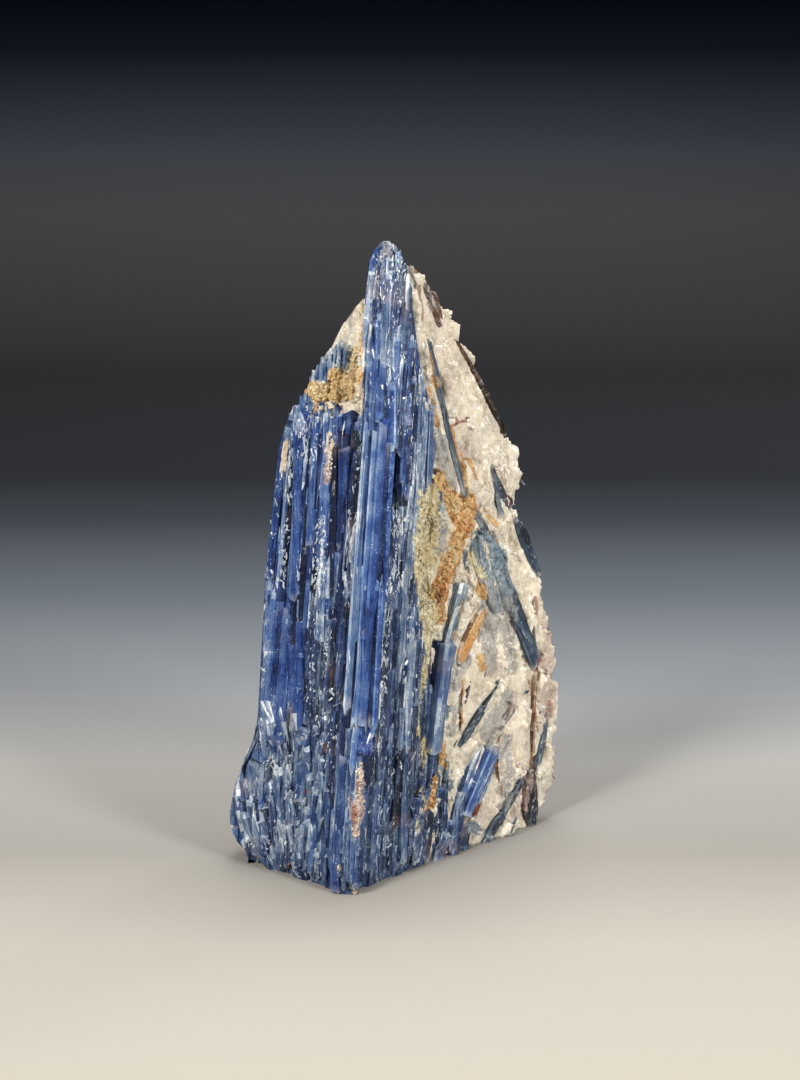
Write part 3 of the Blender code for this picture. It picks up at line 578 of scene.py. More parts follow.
def blade_shape(rng, rings=3, outline=None):
    """A unit blade: 1 wide, 1 thick and 1 long, its front towards -Y, with worn edges and torn ends."""
    bm = bmesh.new()
    part = bm.faces.layers.float.new("part")
    torn = bm.verts.layers.float.new("torn")
    left = rng.uniform(0.08, 0.34)
    right = rng.uniform(0.08, 0.34)
    drop = rng.uniform(0.1, 0.25)
    end_width = rng.uniform(0.35, 0.95)
    end_shift = rng.uniform(-0.2, 0.2) * (1 - end_width)
    front = ((-0.5, drop - 0.5), (left - 0.5, -0.5), (0.5 - right, -0.5), (0.5, drop - 0.5))
    cap = bm.faces.new([bm.verts.new((x, y, -0.5)) for x, y in ((-0.5, 0.5), *front, (0.5, 0.5))])
    for _ in range(rings):
        made = bmesh.ops.extrude_face_region(bm, geom=[cap])["geom"]
        cap = next(item for item in made if isinstance(item, bmesh.types.BMFace))
        bmesh.ops.translate(bm, vec=(0, 0, 1 / rings), verts=cap.verts)
    for vertex in bm.verts:
        if outline:
            vertex.co.x *= OUTLINES[outline](2 * vertex.co.z)
        elif abs(vertex.co.z) < 0.49:
            vertex.co.z *= 2.5
        else:
            vertex.co.x = vertex.co.x * end_width + math.copysign(end_shift, vertex.co.z)
            vertex.co.y += 0.12
        vertex.co.x += rng.uniform(-0.05, 0.05)
        vertex.co.y += rng.uniform(-0.06, 0.06)
        if abs(vertex.co.z) > 0.49:
            vertex.co.z += rng.uniform(-0.07, 0.07) * (0.4 if outline else 1)
            vertex[torn] = 1
    bmesh.ops.recalc_face_normals(bm, faces=bm.faces)
    for face in bm.faces:
        # painted light on the facets of each blade: the left chamfer gets a painted highlight, the right
        # chamfer and the sides get painted shade, and the ends are paler than the front
        face.normal_update()
        if abs(face.normal.z) > 0.4:
            face[part] = 0.2
        elif abs(face.normal.x) > 0.35 and face.normal.y < -0.2:
            face[part] = 0.2 if face.normal.x < 0 else -0.06
        elif face.normal.y > -0.2:
            face[part] = -0.12
    return as_mesh(bm, "blade")


def blades(rng, number, rings=3, outline=None):
    return [blade_shape(rng, rings, outline) for _ in range(number)]


def grain_shape(rng):
    """A unit grain with flat faces."""
    bm = bmesh.new()
    bm.faces.layers.float.new("part")
    bm.verts.layers.float.new("torn")
    bmesh.ops.create_icosphere(bm, subdivisions=1, radius=0.5)
    for vertex in bm.verts:
        vertex.co *= rng.uniform(0.72, 1.25)
    return as_mesh(bm, "grain")


def frame_matrix(foot, head, facing, turn):
    """Turns a shape's length from foot to head and its front (-Y) to where facing looks."""
    towards = (head - foot).normalized()
    depth = -(facing - towards * facing.dot(towards)).normalized()
    depth = Matrix.Rotation(turn, 3, towards) @ depth
    side = depth.cross(towards)
    turned = Matrix((side, depth, towards)).transposed().to_4x4()
    return Matrix.Translation((foot + head) / 2) @ turned


class Heap:
    """Gathers placed copies of shapes into one mesh, with tone, greyness and calm on each face.

    Tone runs from dark to pale, greyness fades the blue, and calm quietens the streaks.
    """

    def __init__(self, rng, shapes):
        self.rng = rng
        self.shapes = shapes
        self.bm = bmesh.new()
        self.add_layers()

    def add_layers(self):
        """Adds the layers that the materials read, where the mesh has none."""
        floats = self.bm.faces.layers.float
        names = ("tone", "grey", "part", "calm")
        self.tone, self.grey, self.part, self.calm = [floats.get(name) or floats.new(name) for name in names]
        if "torn" not in self.bm.verts.layers.float:
            self.bm.verts.layers.float.new("torn")
        uvs = self.bm.loops.layers.uv
        self.uv = uvs.get("grain") or uvs.new("grain")

    def add(self, shape, matrix, size, tone, grey, offset=0.0, calm=0.0):
        verts = len(self.bm.verts)
        faces = len(self.bm.faces)
        self.bm.from_mesh(shape)
        for face in self.bm.faces[faces:]:
            # the shape's painted facet light shifts each face's tone: a painted highlight on one chamfer,
            # painted shade on the other chamfer and on the sides
            face[self.tone] = held(tone + face[self.part], -0.1, 1.2)
            face[self.grey] = grey
            face[self.calm] = calm
            for loop in face.loops:
                u = (loop.vert.co.x + loop.vert.co.y) * size[0] + offset
                loop[self.uv].uv = (u, loop.vert.co.z * size[2] + offset * 3)
        for vertex in self.bm.verts[verts:]:
            vertex.co = matrix @ vertex.co

    def blade(self, foot, head, facing, width, thick, proud, tone, grey, turn=None, calm=0.0, shapes=None):
        """A thin blade whose front stands proud of the line from foot to head."""
        turn = self.rng.gauss(0, 0.14) if turn is None else turn
        size = (width, thick, (head - foot).length)
        sink = Matrix.Translation((0, thick / 2 - proud, 0))
        matrix = frame_matrix(foot, head, facing, turn) @ sink @ Matrix.Diagonal((*size, 1))
        shape = self.rng.choice(shapes or self.shapes)
        self.add(shape, matrix, size, tone, grey, self.rng.uniform(0, 400), calm)

    def map_grain(self):
        """A map along the ridge's grain, in millimetres, on a mesh that has none."""
        grain = (along(RIDGE, HEIGHT) - along(RIDGE, 0)).normalized()
        for face in self.bm.faces:
            side = grain.cross(face.normal)
            side = side.normalized() if side.length > 0.05 else Vector((1, 0, 0))
            for loop in face.loops:
                loop[self.uv].uv = (side.dot(loop.vert.co), grain.dot(loop.vert.co))


def lay_blades(heap, surface, layer, proud, thick, lean=1.0, pale=0.0):
    """Covers a face of the blue mass with thin blades that follow its grain."""
    rng = heap.rng
    step = 0.9  # the ends may lie this far above or below the middle
    face, reach, heights, count, widths, lengths = layer
    for _ in range(count):
        across = rng.uniform(*reach)
        z = rng.uniform(*heights)
        half = rng.uniform(*lengths) / 2 * rng.choice((1, 1, 0.6))
        drift = rng.gauss(0, 0.03) * half * lean
        if face == "right" and across > seam_reach(z) - 0.4:
            continue
        if rng.random() < bareness(face, across, z):
            continue
        z = min(z, FAN_TOP[face] + rng.uniform(-3, 1) - half)
        points = [on_face(face, across + way * drift, z + way * half) for way in (-0.9, 0, 0.9)]
        hits = [land(surface, point, outwards) for point, outwards in points]
        if None in hits:
            continue
        facing = points[1][1]
        middle = (hits[1] - points[1][0]).dot(facing)
        ends = []
        for (point, outwards), hit in zip(points[::2], hits[::2]):
            depth = (hit - point).dot(outwards)
            ends.append(point + outwards * held(depth, middle - step, middle + step))
        if pale and noise.noise(hits[1] / 6) < rng.uniform(-0.35, 0.3):
            continue
        tone, spread, grey = shade_at(face, across + rng.gauss(0, 0.7), z + rng.gauss(0, 4))
        tone += column_tone(face, across, z) + rng.uniform(-spread, spread) * 0.85 + rng.uniform(0, pale)
        width = rng.uniform(*widths) * (0.6 if face == "left" and across > 33 else 1)
        tone = min(tone, 1.15 - 0.28 * width)
        heap.blade(
            *ends, facing, width, rng.uniform(*thick), rng.uniform(*proud) * min(1, 1.6 / width), tone,
            held(grey + rng.uniform(-0.2, 0.2)), calm=min(0.7, 0.25 * width),
        )  # fmt: skip


def bundle(heap, surface, face, row, bedded=0.0, calm=0.3):
    """A crystal as a flat plank with strands along it, laid on a surface within the row's outline.

    With bedded as None it keeps to the plane of the wedge's face instead.
    """
    rng = heap.rng
    start, end, width, proud, outline, tone, grey, count = row
    lift = proud - 0.3  # the plank's edges are worn, so its front lies under the row's height
    places, depths = [], []
    for share in (0.06, 0.28, 0.5, 0.72, 0.94):
        point, outwards = on_face(face, *Vector(start).lerp(Vector(end), share))
        hit = land(surface, point, outwards)
        if hit is not None:
            places.append(share)
            depths.append((hit - point).dot(outwards))
    slope, level = np.polyfit(places, depths, 1) if len(places) > 2 else (0, 0)
    if bedded is None:
        slope, level, bedded = 0, 0, 0.5
    foot, out_low = on_face(face, *start)
    head, out_high = on_face(face, *end)
    foot += out_low * (float(level) - bedded)
    head += out_high * (float(level + slope) - bedded)
    facing = (out_low + out_high).normalized()
    axis = (head - foot).normalized()
    side = axis.cross(facing).normalized()
    middle = (foot + head) / 2
    half = (head - foot).length / 2
    plank = blade_shape(rng, 6, outline)
    heap.blade(foot + facing * lift, head + facing * lift, facing, width * 0.92, 2.6, 0, tone, grey,
               rng.gauss(0, 0.05), calm, [plank])  # fmt: skip
    for _ in range(count):
        centre = rng.uniform(-0.85, 0.85)
        reach = rng.uniform(0.15, 0.55)
        low = max(-1, centre - reach)
        high = min(1, centre + reach)
        room = width * OUTLINES[outline]((low + high) / 2)
        strand = min(room, rng.uniform(0.14, 0.45) * width + 0.25)
        across = rng.uniform(-0.5, 0.5) * max(0, room - strand)
        lean = side * rng.gauss(0, 0.015) * half
        place = middle + side * across + facing * (lift + rng.uniform(-0.1, 0.3))
        heap.blade(
            place + axis * low * half - lean, place + axis * high * half + lean, facing, strand, 2.4, 0,
            tone + rng.uniform(-0.16, 0.18) * (1.3 - calm), held(grey + rng.uniform(-0.2, 0.2)),
            rng.gauss(0, 0.16), calm,
        )  # fmt: skip


def trim(bm, line, heights, slack):
    """Presses what stands out past an upright edge back towards it, between two heights."""
    near_edge, long_edge, kept = 4, 11, 0.2
    low, high = zip(*slack)
    near = {v for v in bm.verts if v.co.x - along(line, v.co.z).x < near_edge}
    long = [edge for edge in bm.edges if edge.calc_length() > long_edge and not near.isdisjoint(edge.verts)]
    bmesh.ops.subdivide_edges(bm, edges=long, cuts=6, use_grid_fill=True)
    for vertex in bm.verts:
        place = vertex.co
        if inside(place.z, heights):
            limit = along(line, place.z).x + CENTRE.x - float(np.interp(place.z, low, high))
            if place.x < limit:
                place.x = limit - (limit - place.x) * kept


# ---------------------------------------------------------------- stains, and closing a piece


def stain_fields(points):
    """How strongly each kind of stain lies on each of an array of points in millimetres."""
    fields = {kind: np.zeros(len(points)) for kind in STAIN_COLOURS}
    for kind, face, *rows in STAINS:
        for start, end, radius, strength in rows:
            foot, outwards = on_face(face, *start)
            head, _ = on_face(face, *end)
            out = np.array(outwards)
            away = points - np.array(foot)
            depth = away @ out
            flat = away - np.outer(depth, out)
            line = np.array(head - foot)
            line -= out * (line @ out)
            share = np.clip(flat @ line / max(line @ line, 1e-6), 0, 1)
            distance = np.linalg.norm(flat - np.outer(share, line), axis=1)
            field = np.clip(1.5 - distance / radius, 0, 1) * (np.abs(depth) < STAIN_REACH)
            fields[kind] = np.maximum(fields[kind], strength * field)
    return fields


def cut_for_stains(bm):
    """Splits long edges that cross a stain, so that the stain keeps its shape on them."""
    long_edge = 3.5
    edges = [edge for edge in bm.edges if edge.calc_length() > long_edge]
    shares = (0.1, 0.3, 0.5, 0.7, 0.9)
    points = np.array([edge.verts[0].co.lerp(edge.verts[1].co, share) for edge in edges for share in shares])
    field = np.max(list(stain_fields(points).values()), axis=0).reshape(-1, len(shares))
    crossed = field.max(1) - field.min(1) > 0.25
    for low, high, cuts in ((long_edge, 12, 3), (12, 100, 8)):
        chosen = [e for e, c in zip(edges, crossed) if c and low < e.calc_length() <= high]
        bmesh.ops.subdivide_edges(bm, edges=chosen, cuts=cuts)


def piece(name, bm, material, replaces=()):
    """Closes a piece: stain fields, metres, its material and its place in the frame."""
    low, high = (np.array(corner) * MM for corner in cad_box)
    mesh = as_mesh(bm, name)
    co = np.empty(len(mesh.vertices) * 3, np.float32)
    mesh.vertices.foreach_get("co", co)
    points = np.clip(co.reshape(-1, 3), low + CLEARANCE, high - CLEARANCE)
    mesh.vertices.foreach_set("co", points.astype(np.float32).ravel())
    for kind, values in stain_fields(points.astype(float)).items():
        attribute = mesh.attributes.new(kind, "FLOAT", "POINT")
        attribute.data.foreach_set("value", values.astype(np.float32))
    mesh.transform(Matrix.Scale(0.001, 4))
    mesh.materials.append(material)
    obj = add_object(name, mesh)
    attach(obj, "root")
    if replaces:
        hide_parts(*replaces)


# ---------------------------------------------------------------- materials


class Signal:
    """An output of a shader node, which adds, subtracts and multiplies as a number does."""

    def __init__(self, nodes, socket):
        self.nodes = nodes
        self.socket = socket

    def __add__(self, other):
        return self.nodes.math("ADD", self, other)

    def __sub__(self, other):
        return self.nodes.math("SUBTRACT", self, other)

    def __rsub__(self, other):
        return self.nodes.math("SUBTRACT", other, self)

    def __mul__(self, other):
        return self.nodes.math("MULTIPLY", self, other)


class Nodes:
    """Adds shader nodes to a tree: a signal given as an input is linked, a plain value is set."""

    def __init__(self, tree):
        self.tree = tree

    def feed(self, node, inputs):
        for key, value in inputs.items():
            if isinstance(value, Signal):
                self.tree.links.new(value.socket, node.inputs[key])
            else:
                node.inputs[key].default_value = value

    def add(self, kind, inputs, **settings):
        made = self.tree.nodes.new(kind if kind.startswith("Node") else "ShaderNode" + kind)
        for name, value in settings.items():
            setattr(made, name, value)
        self.feed(made, inputs)
        return made

    def get(self, kind, output, inputs, **settings):
        """One output of a new node."""
        return Signal(self, self.add(kind, inputs, **settings).outputs[output])

    def place(self):
        return self.get("TexCoord", "Object", {})

    def field(self, name):
        """A value that the mesh carries."""
        return self.get("Attribute", "Fac", {}, attribute_name=name)

    def group(self, tree, inputs):
        """The named outputs of a node group."""
        made = self.add("Group", inputs, node_tree=tree)
        return {socket.name: Signal(self, socket) for socket in made.outputs}

    def math(self, operation, a, b, clamp=False):
        return self.get("Math", 0, {0: a, 1: b}, operation=operation, use_clamp=clamp)

    def vector(self, operation, a, b, output="Vector"):
        return self.get("VectorMath", output, {0: a, 1: b}, operation=operation)

    def mix(self, share, a, b, blend="MIX"):
        inputs = {0: share, 6: a, 7: b}
        return self.get("Mix", 2, inputs, data_type="RGBA", blend_type=blend)

    def step(self, value, low, high):
        """0 under low, 1 over high and smooth between."""
        inputs = {"Value": value, "From Min": low, "From Max": high}
        return self.get("MapRange", 0, inputs, interpolation_type="SMOOTHSTEP")

    def noise(self, vector, scale, detail, roughness):
        inputs = {"Vector": vector, "Scale": scale, "Detail": detail, "Roughness": roughness}
        return self.get("TexNoise", "Fac", inputs)

    def ramp(self, value, stops):
        made = self.add("ValToRGB", {"Fac": value})
        elements = made.color_ramp.elements
        while len(elements) < len(stops):
            elements.new(0.5)
        for element, (place, colour) in zip(elements, stops):
            element.position = place
            element.color = (*colour, 1)
        return Signal(self, made.outputs["Color"])

    def bump(self, height, strength, distance):
        return self.get("Bump", 0, {"Height": height, "Strength": strength, "Distance": distance})


def node_group(name, inputs, outputs):
    """An empty group with named sockets; returns it, its nodes, its given signals and its output node."""
    tree = bpy.data.node_groups.new(name, "ShaderNodeTree")
    for sockets, way in ((inputs, "INPUT"), (outputs, "OUTPUT")):
        for socket, kind in sockets.items():
            tree.interface.new_socket(socket, in_out=way, socket_type="NodeSocket" + kind)
    nodes = Nodes(tree)
    entry = nodes.add("NodeGroupInput", {})
    given = {socket: Signal(nodes, entry.outputs[socket]) for socket in inputs}
    return tree, nodes, given, nodes.add("NodeGroupOutput", {})


def grain_group():
    """Streaks, striations, cracks painted as shadow lines, and specks that are partly frost and partly
    painted glints, along a blade's own map, which is in millimetres.
    """
    tree, nodes, given, out = node_group(
        "blade grain",
        {"Map": "Vector", "Tone": "Float", "Spread": "Float", "Specks": "Float"},
        {"Tone": "Float", "Height": "Float", "Frost and glints": "Float"},
    )
    cut = nodes.add("SeparateXYZ", {0: given["Map"]})
    u, v = (Signal(nodes, socket) for socket in cut.outputs[:2])

    def drawn(across, lengthways, turn, *look):
        """Noise that is drawn out along the blade, and differs from blade to blade."""
        parts = {0: u * across, 1: v * lengthways, 2: given["Tone"] * turn}
        return nodes.noise(nodes.get("CombineXYZ", 0, parts), *look)

    def swing(value, share):
        return (value - 0.5) * (given["Spread"] * share)

    streaks = drawn(1.0, 0.06, 3.0, 0.5, 3.0, 0.55)
    lines = drawn(1.0, 0.05, 7.0, 2.0, 2.0, 0.6)
    steps = drawn(0.8, 0.55, 5.0, 0.7, 6.0, 0.75)
    dots = drawn(1.0, 0.9, 2.0, 2.5, 2.0, 0.6)
    # cracks along the grain: sunk in the bump, and painted darker as shadow lines between the blades
    shadowed_cracks = nodes.step(drawn(1.0, 0.025, 9.0, 1.3, 1.0, 0.5), 0.61, 0.67)
    tone = given["Tone"] + swing(streaks, 3.2) + swing(lines, 0.8) + swing(steps, 4.6)
    tone = tone - shadowed_cracks * (given["Spread"] * 0.8)
    height = lines * 0.5 + steps * 0.6 - shadowed_cracks * 0.4
    # pale specks: partly real frost, partly painted glints
    low = 0.76 - given["Specks"] * 0.22
    nodes.feed(out, {"Tone": tone, "Height": height, "Frost and glints": nodes.step(dots, low, low + 0.05)})
    return tree


def facet_group():
    """Broken crystal faces: every cell is a plane of its own tilt, with a painted shade that follows the tilt
    and an edge mask that the quartz paints as crevice shade.
    """
    tree, nodes, given, out = node_group(
        "broken facets",
        {"Place": "Vector", "Cells": "Float"},
        {"Height": "Float", "Shade": "Float", "Edge": "Float"},
    )
    inputs = {"Vector": given["Place"], "Scale": given["Cells"]}
    cells = nodes.add("TexVoronoi", inputs)
    middle, colour = (Signal(nodes, cells.outputs[name]) for name in ("Position", "Color"))
    edge = nodes.get("TexVoronoi", "Distance", inputs, feature="DISTANCE_TO_EDGE")
    away = nodes.vector("SUBTRACT", given["Place"], middle)
    tilt = nodes.vector("SUBTRACT", colour, (0.5, 0.5, 0.5))
    nodes.feed(out, {
        "Height": nodes.vector("DOT_PRODUCT", away, tilt, "Value"),
        "Shade": nodes.get("SeparateColor", 0, {0: colour}),
        "Edge": nodes.step(edge, 0.10, 0.0),
    })  # fmt: skip
    return tree


def stain_group():
    """Lays the stains that a mesh carries over a colour, with ragged granular edges."""
    tree, nodes, given, out = node_group(
        "stains",
        {"Color": "Color", "Place": "Vector", **{kind.capitalize(): "Float" for kind in STAIN_COLOURS}},
        {"Color": "Color", "Cover": "Float", "Height": "Float"},
    )
    place = given["Place"]
    ragged = nodes.noise(nodes.vector("MULTIPLY", place, (1, 1, 0.45)), 260, 4.0, 0.7)
    coarse = nodes.noise(place, 900, 3.0, 0.7)
    grains = nodes.get("TexVoronoi", "Color", {"Vector": place, "Scale": 1100.0})
    light = nodes.get("SeparateColor", 0, {0: grains})
    patch = nodes.step(nodes.noise(place, 130, 4.0, 0.65), 0.46, 0.57)
    pits = nodes.step(nodes.noise(place, 380, 3.0, 0.7), 0.57, 0.66)
    speckle = light * 0.55 + nodes.step(coarse, 0.3, 0.7) * 0.5
    colour = given["Color"]
    cover = 0.0
    for kind, (dark, pale, lean, most) in STAIN_COLOURS.items():
        field = given[kind.capitalize()]
        edge = field + (ragged - 0.5) * 1.7 + (coarse - 0.5) * 0.7
        mask = nodes.step(edge, 0.42, 0.62) * nodes.step(field, 0.02, 0.2)
        tint = nodes.mix(speckle, (*dark, 1), (*pale, 1))
        tint = nodes.mix(patch * 0.6, tint, (*lean, 1))
        tint = nodes.mix(pits * 0.6, tint, (*dark, 1))
        share = mask * most
        colour = nodes.mix(share, colour, tint)
        cover = nodes.math("MAXIMUM", cover, share)
    crust = coarse + light * 0.3 - pits
    nodes.feed(out, {"Color": colour, "Cover": cover, "Height": cover * crust})
    return tree


def stained(nodes, groups, colour, place):
    """The stains of the mesh over a colour, as the outputs of their group."""
    fields = {kind.capitalize(): nodes.field(kind) for kind in STAIN_COLOURS}
    return nodes.group(groups["stains"], {"Color": colour, "Place": place, **fields})


def new_material(name):
    material = bpy.data.materials.new(name)
    material.use_nodes = True
    return material, Nodes(material.node_tree), material.node_tree.nodes["Principled BSDF"]


# Colours of the blades from dark to pale tone.
ROYAL = (
    (0.0, (0.002, 0.006, 0.024)), (0.18, (0.005, 0.016, 0.082)), (0.34, (0.014, 0.046, 0.19)),
    (0.48, (0.040, 0.092, 0.28)), (0.62, (0.088, 0.168, 0.37)), (0.75, (0.18, 0.275, 0.45)),
    (0.88, (0.38, 0.465, 0.58)), (1.0, (0.80, 0.86, 0.92)),
)  # fmt: skip
SLATE = (
    (0.0, (0.003, 0.006, 0.011)), (0.2, (0.012, 0.022, 0.042)), (0.36, (0.034, 0.058, 0.10)),
    (0.5, (0.074, 0.115, 0.18)), (0.64, (0.142, 0.20, 0.275)), (0.78, (0.27, 0.335, 0.40)),
    (0.9, (0.50, 0.56, 0.60)), (1.0, (0.88, 0.90, 0.88)),
)  # fmt: skip
RUSTY = (
    (0.0, (0.012, 0.008, 0.008)), (0.3, (0.05, 0.022, 0.014)), (0.55, (0.14, 0.06, 0.03)),
    (0.8, (0.32, 0.20, 0.12)), (1.0, (0.70, 0.60, 0.48)),
)  # fmt: skip
TEAL = (
    (0.0, (0.006, 0.008, 0.011)), (0.2, (0.018, 0.024, 0.032)), (0.36, (0.040, 0.054, 0.072)),
    (0.5, (0.080, 0.108, 0.14)), (0.64, (0.15, 0.19, 0.22)), (0.78, (0.29, 0.34, 0.36)),
    (0.9, (0.50, 0.53, 0.51)), (1.0, (0.80, 0.80, 0.74)),
)  # fmt: skip

WARM = (0.44, 0.28, 0.26, 1)
SILVER = (0.92, 0.95, 0.97, 1)


def kyanite(name, groups, bright, dull, spread=0.3, specks=0.55):
    """Crystal blades: colour streaks along the blade, silver specks that are partly frost and partly painted
    glints, stains and a glassy face.
    """
    material, nodes, shader = new_material(name)
    place = nodes.place()
    calm = nodes.field("calm")
    grain = nodes.group(groups["grain"], {
        "Map": nodes.get("UVMap", 0, {}, uv_map="grain"), "Tone": nodes.field("tone"),
        "Spread": calm * (-0.85 * spread) + spread, "Specks": specks,
    })  # fmt: skip
    patches = nodes.noise(place, 140, 3.0, 0.6)
    tone = grain["Tone"] + (patches - 0.46) * 0.7
    grey = nodes.math("ADD", nodes.field("grey"), (patches - 0.5) * 1.1, clamp=True)
    colour = nodes.mix(grey, nodes.ramp(tone, bright), nodes.ramp(tone, dull))
    warm = nodes.step(nodes.noise(place, 90, 3.0, 0.6), 0.56, 0.68) * (grey * 0.2 + 0.03)
    colour = nodes.mix(warm, colour, WARM)
    # silver over the specks and the torn ends: the torn ends are frosted, and the specks are partly frost and
    # partly painted glints
    frost_and_glints = grain["Frost and glints"] * (nodes.step(patches, 0.40, 0.64) * 0.6 + 0.3)
    torn = nodes.step(nodes.field("torn") + patches * 0.9, 1.05, 1.5)
    frost_and_glints = nodes.math("MAXIMUM", frost_and_glints, torn * 0.35) * (1.0 - calm * 0.6)
    stains = stained(nodes, groups, nodes.mix(frost_and_glints, colour, SILVER), place)
    nodes.feed(shader, {
        "Base Color": stains["Color"],
        "Roughness": grain["Height"] * 0.16 + 0.22 + stains["Cover"] * 0.25,
        "Normal": nodes.bump(grain["Height"] + stains["Height"], 0.8, 0.0005),
        "IOR": 1.72,
        "Specular IOR Level": 0.2,
    })  # fmt: skip
    return material


def quartz_material(groups):
    """Milky quartz: cream to pink broken facets with painted facet shade, painted crevice shade and painted
    glints, clear grey patches and rust specks.
    """
    material, nodes, shader = new_material("milky quartz")
    place = nodes.place()
    wavy = nodes.get("TexNoise", "Color", {"Vector": place, "Scale": 240.0, "Detail": 3.0})
    shift = nodes.get("VectorMath", 0, {0: wavy, "Scale": 0.004}, operation="SCALE")
    long = nodes.vector("MULTIPLY", place, (1.1, 1.1, 0.62))
    bent = nodes.vector("ADD", long, shift)
    large = nodes.group(groups["facets"], {"Place": bent, "Cells": 230.0})
    small = nodes.group(groups["facets"], {"Place": bent, "Cells": 760.0})
    cloud = nodes.noise(place, 42, 5.0, 0.65)
    colour = nodes.ramp(cloud, (
        (0.28, (0.62, 0.54, 0.44)), (0.40, (0.92, 0.81, 0.65)), (0.52, (1.0, 0.91, 0.74)),
        (0.70, (0.98, 0.82, 0.68)),
    ))  # fmt: skip
    # painted shade on the facets, paler or darker with each facet's tilt
    painted_facet_shade = nodes.mix(large["Shade"] * 0.4 + small["Shade"] * 0.6, (0.62, 0.60, 0.57, 1), (1, 1, 1, 1))
    colour = nodes.mix(0.65, colour, painted_facet_shade, "MULTIPLY")
    ragged = nodes.noise(long, 210, 4.0, 0.7)
    # painted shade in the crevices along the edges of the small facets
    painted_crevice_shade = small["Edge"] * nodes.step(ragged, 0.52, 0.62)
    glass = nodes.step(nodes.noise(place, 80, 4.0, 0.65) + small["Shade"] * 0.10, 0.58, 0.68)
    # painted glints: small near-white spots, which are also rougher
    painted_glints = nodes.step(nodes.noise(long, 620, 3.0, 0.7), 0.58, 0.65)
    specks = nodes.step(nodes.noise(place, 330, 3.0, 0.7), 0.69, 0.74)
    for mask, share, tint in (
        (painted_crevice_shade, 0.5, (0.26, 0.20, 0.15, 1)), (glass, 0.42, (0.44, 0.41, 0.36, 1)),
        (painted_glints, 0.8, (1.0, 0.99, 0.95, 1)), (specks, 0.5, (0.42, 0.20, 0.11, 1)),
    ):  # fmt: skip
        colour = nodes.mix(mask * share, colour, tint)
    stains = stained(nodes, groups, colour, place)
    crumpled = nodes.step(nodes.noise(place, 30, 2.0, 0.5), 0.42, 0.62) * 0.75 + 0.25
    height = large["Height"] + small["Height"] * crumpled + stains["Height"] * 0.0004
    height = height + ragged * 0.0016 * crumpled
    nodes.feed(shader, {
        "Base Color": stains["Color"],
        "Roughness": (cloud + painted_glints) * 0.22 + 0.10,
        "Normal": nodes.bump(height, 0.9, 1.0),
        "IOR": 1.544,
        "Subsurface Weight": 0.08,
        "Subsurface Radius": (1.0, 0.75, 0.6),
        "Subsurface Scale": 0.0015,
    })  # fmt: skip
    return material


# ---------------------------------------------------------------- pieces


def crystal_names():
    return [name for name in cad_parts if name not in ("kyanite_mass", "quartz_matrix")]


def blue_fan(materials):
    """The mass with its large crystals, and the thin blades that cover them."""
    rng = random.Random(SEED)
    heap = Heap(rng, blades(rng, 16))
    surface = skin("kyanite_mass")
    heap.bm.from_mesh(as_mesh(merged("kyanite_mass"), "base"))
    heap.add_layers()
    heap.map_grain()
    for face in heap.bm.faces:
        centre = face.calc_center_median()
        ridge = along(RIDGE, centre.z)
        across = (centre - CENTRE - ridge).to_2d().length
        side = "left" if centre.x < ridge.x + CENTRE.x else "right"
        tone, _, grey = shade_at(side, across, centre.z)
        face[heap.tone] = tone - 0.1
        face[heap.grey] = grey
    for side, rows in PLANKS.items():
        for row in rows:
            bundle(heap, surface, side, row, calm=0.8)
    for layer in BLADE_LAYERS:
        lay_blades(heap, surface, layer, (-0.25, 0.7), (1.6, 3.2))
    jumble(heap, surface)
    for row in BULGE:
        bundle(heap, surface, "left", row, calm=0.7)
    trim(heap.bm, LEFT_EDGE, (0, 136), OVERHANG)
    foot(heap)
    dome(heap.bm)
    cut_for_stains(heap.bm)
    piece("kyanite_fan", heap.bm, materials["fan"], ("kyanite_mass",))


def jumble(heap, surface):
    """Crystals that fan out in the bulge at the left foot, and short ones that lie across them."""
    rng = heap.rng
    wide_ones, short_ones = 190, 240
    leaves = blades(rng, 10, 3, "spindle")
    for i in range(wide_ones + short_ones):
        wide = i < wide_ones
        face = "flank" if rng.random() < 0.25 else "left"
        across = rng.uniform(0, 12) if face == "flank" else rng.uniform(10, 44)
        z = rng.uniform(0, 32 if face == "flank" or across > 34 else 42)
        hit, outwards = spot(surface, face, across, z)
        if hit is None:
            continue
        fan = min(18, (across - 16) * 0.8)
        lean = rng.gauss(fan, 7 if wide else 20) if face == "left" else rng.gauss(-8, 12)
        if not wide and rng.random() < 0.2:
            lean = rng.uniform(-60, 60)
        half = leaning(outwards, math.radians(lean)) * (rng.uniform(5, 12) if wide else rng.uniform(0.6, 3.4))
        width = rng.uniform(2.0, 4.6) if wide else rng.uniform(0.35, 1.4)
        tone, spread, grey = shade_at(face, across, z)
        tone += rng.uniform(-spread, spread) * (0.6 if wide else 0.8) + 0.3 * noise.noise(hit / 5)
        shapes = rng.choice((leaves, leaves, heap.shapes))
        heap.blade(
            hit - half, hit + half, outwards, width, rng.uniform(1.4, 2.6), rng.uniform(-0.3, 0.5),
            min(tone, 0.60 if wide else 1.0), grey, rng.gauss(0, 0.3), 0.5 if wide else 0.1, shapes,
        )  # fmt: skip


def foot(heap):
    """Slate blades that carry the blue crystal on under the quartz, at the right of the foot."""
    rng = heap.rng
    surface = skin("kyanite_mass", "quartz_matrix", "kyanite_foot_cluster")
    for _ in range(170):
        z = rng.uniform(-1, 33)
        hit, outwards = spot(surface, "right", rng.uniform(26, 45 - z * 0.34), z)
        if hit is None:
            continue
        half = leaning(outwards, math.radians(rng.gauss(-12, 10))) * rng.uniform(1.5, 8)
        tone = 0.34 + 0.3 * noise.noise(hit / 5) + rng.uniform(-0.14, 0.2)
        heap.blade(hit - half, hit + half, outwards, rng.uniform(0.5, 2.0), 2.0, rng.uniform(0.1, 0.7), tone,
                   rng.uniform(0.3, 0.9))  # fmt: skip


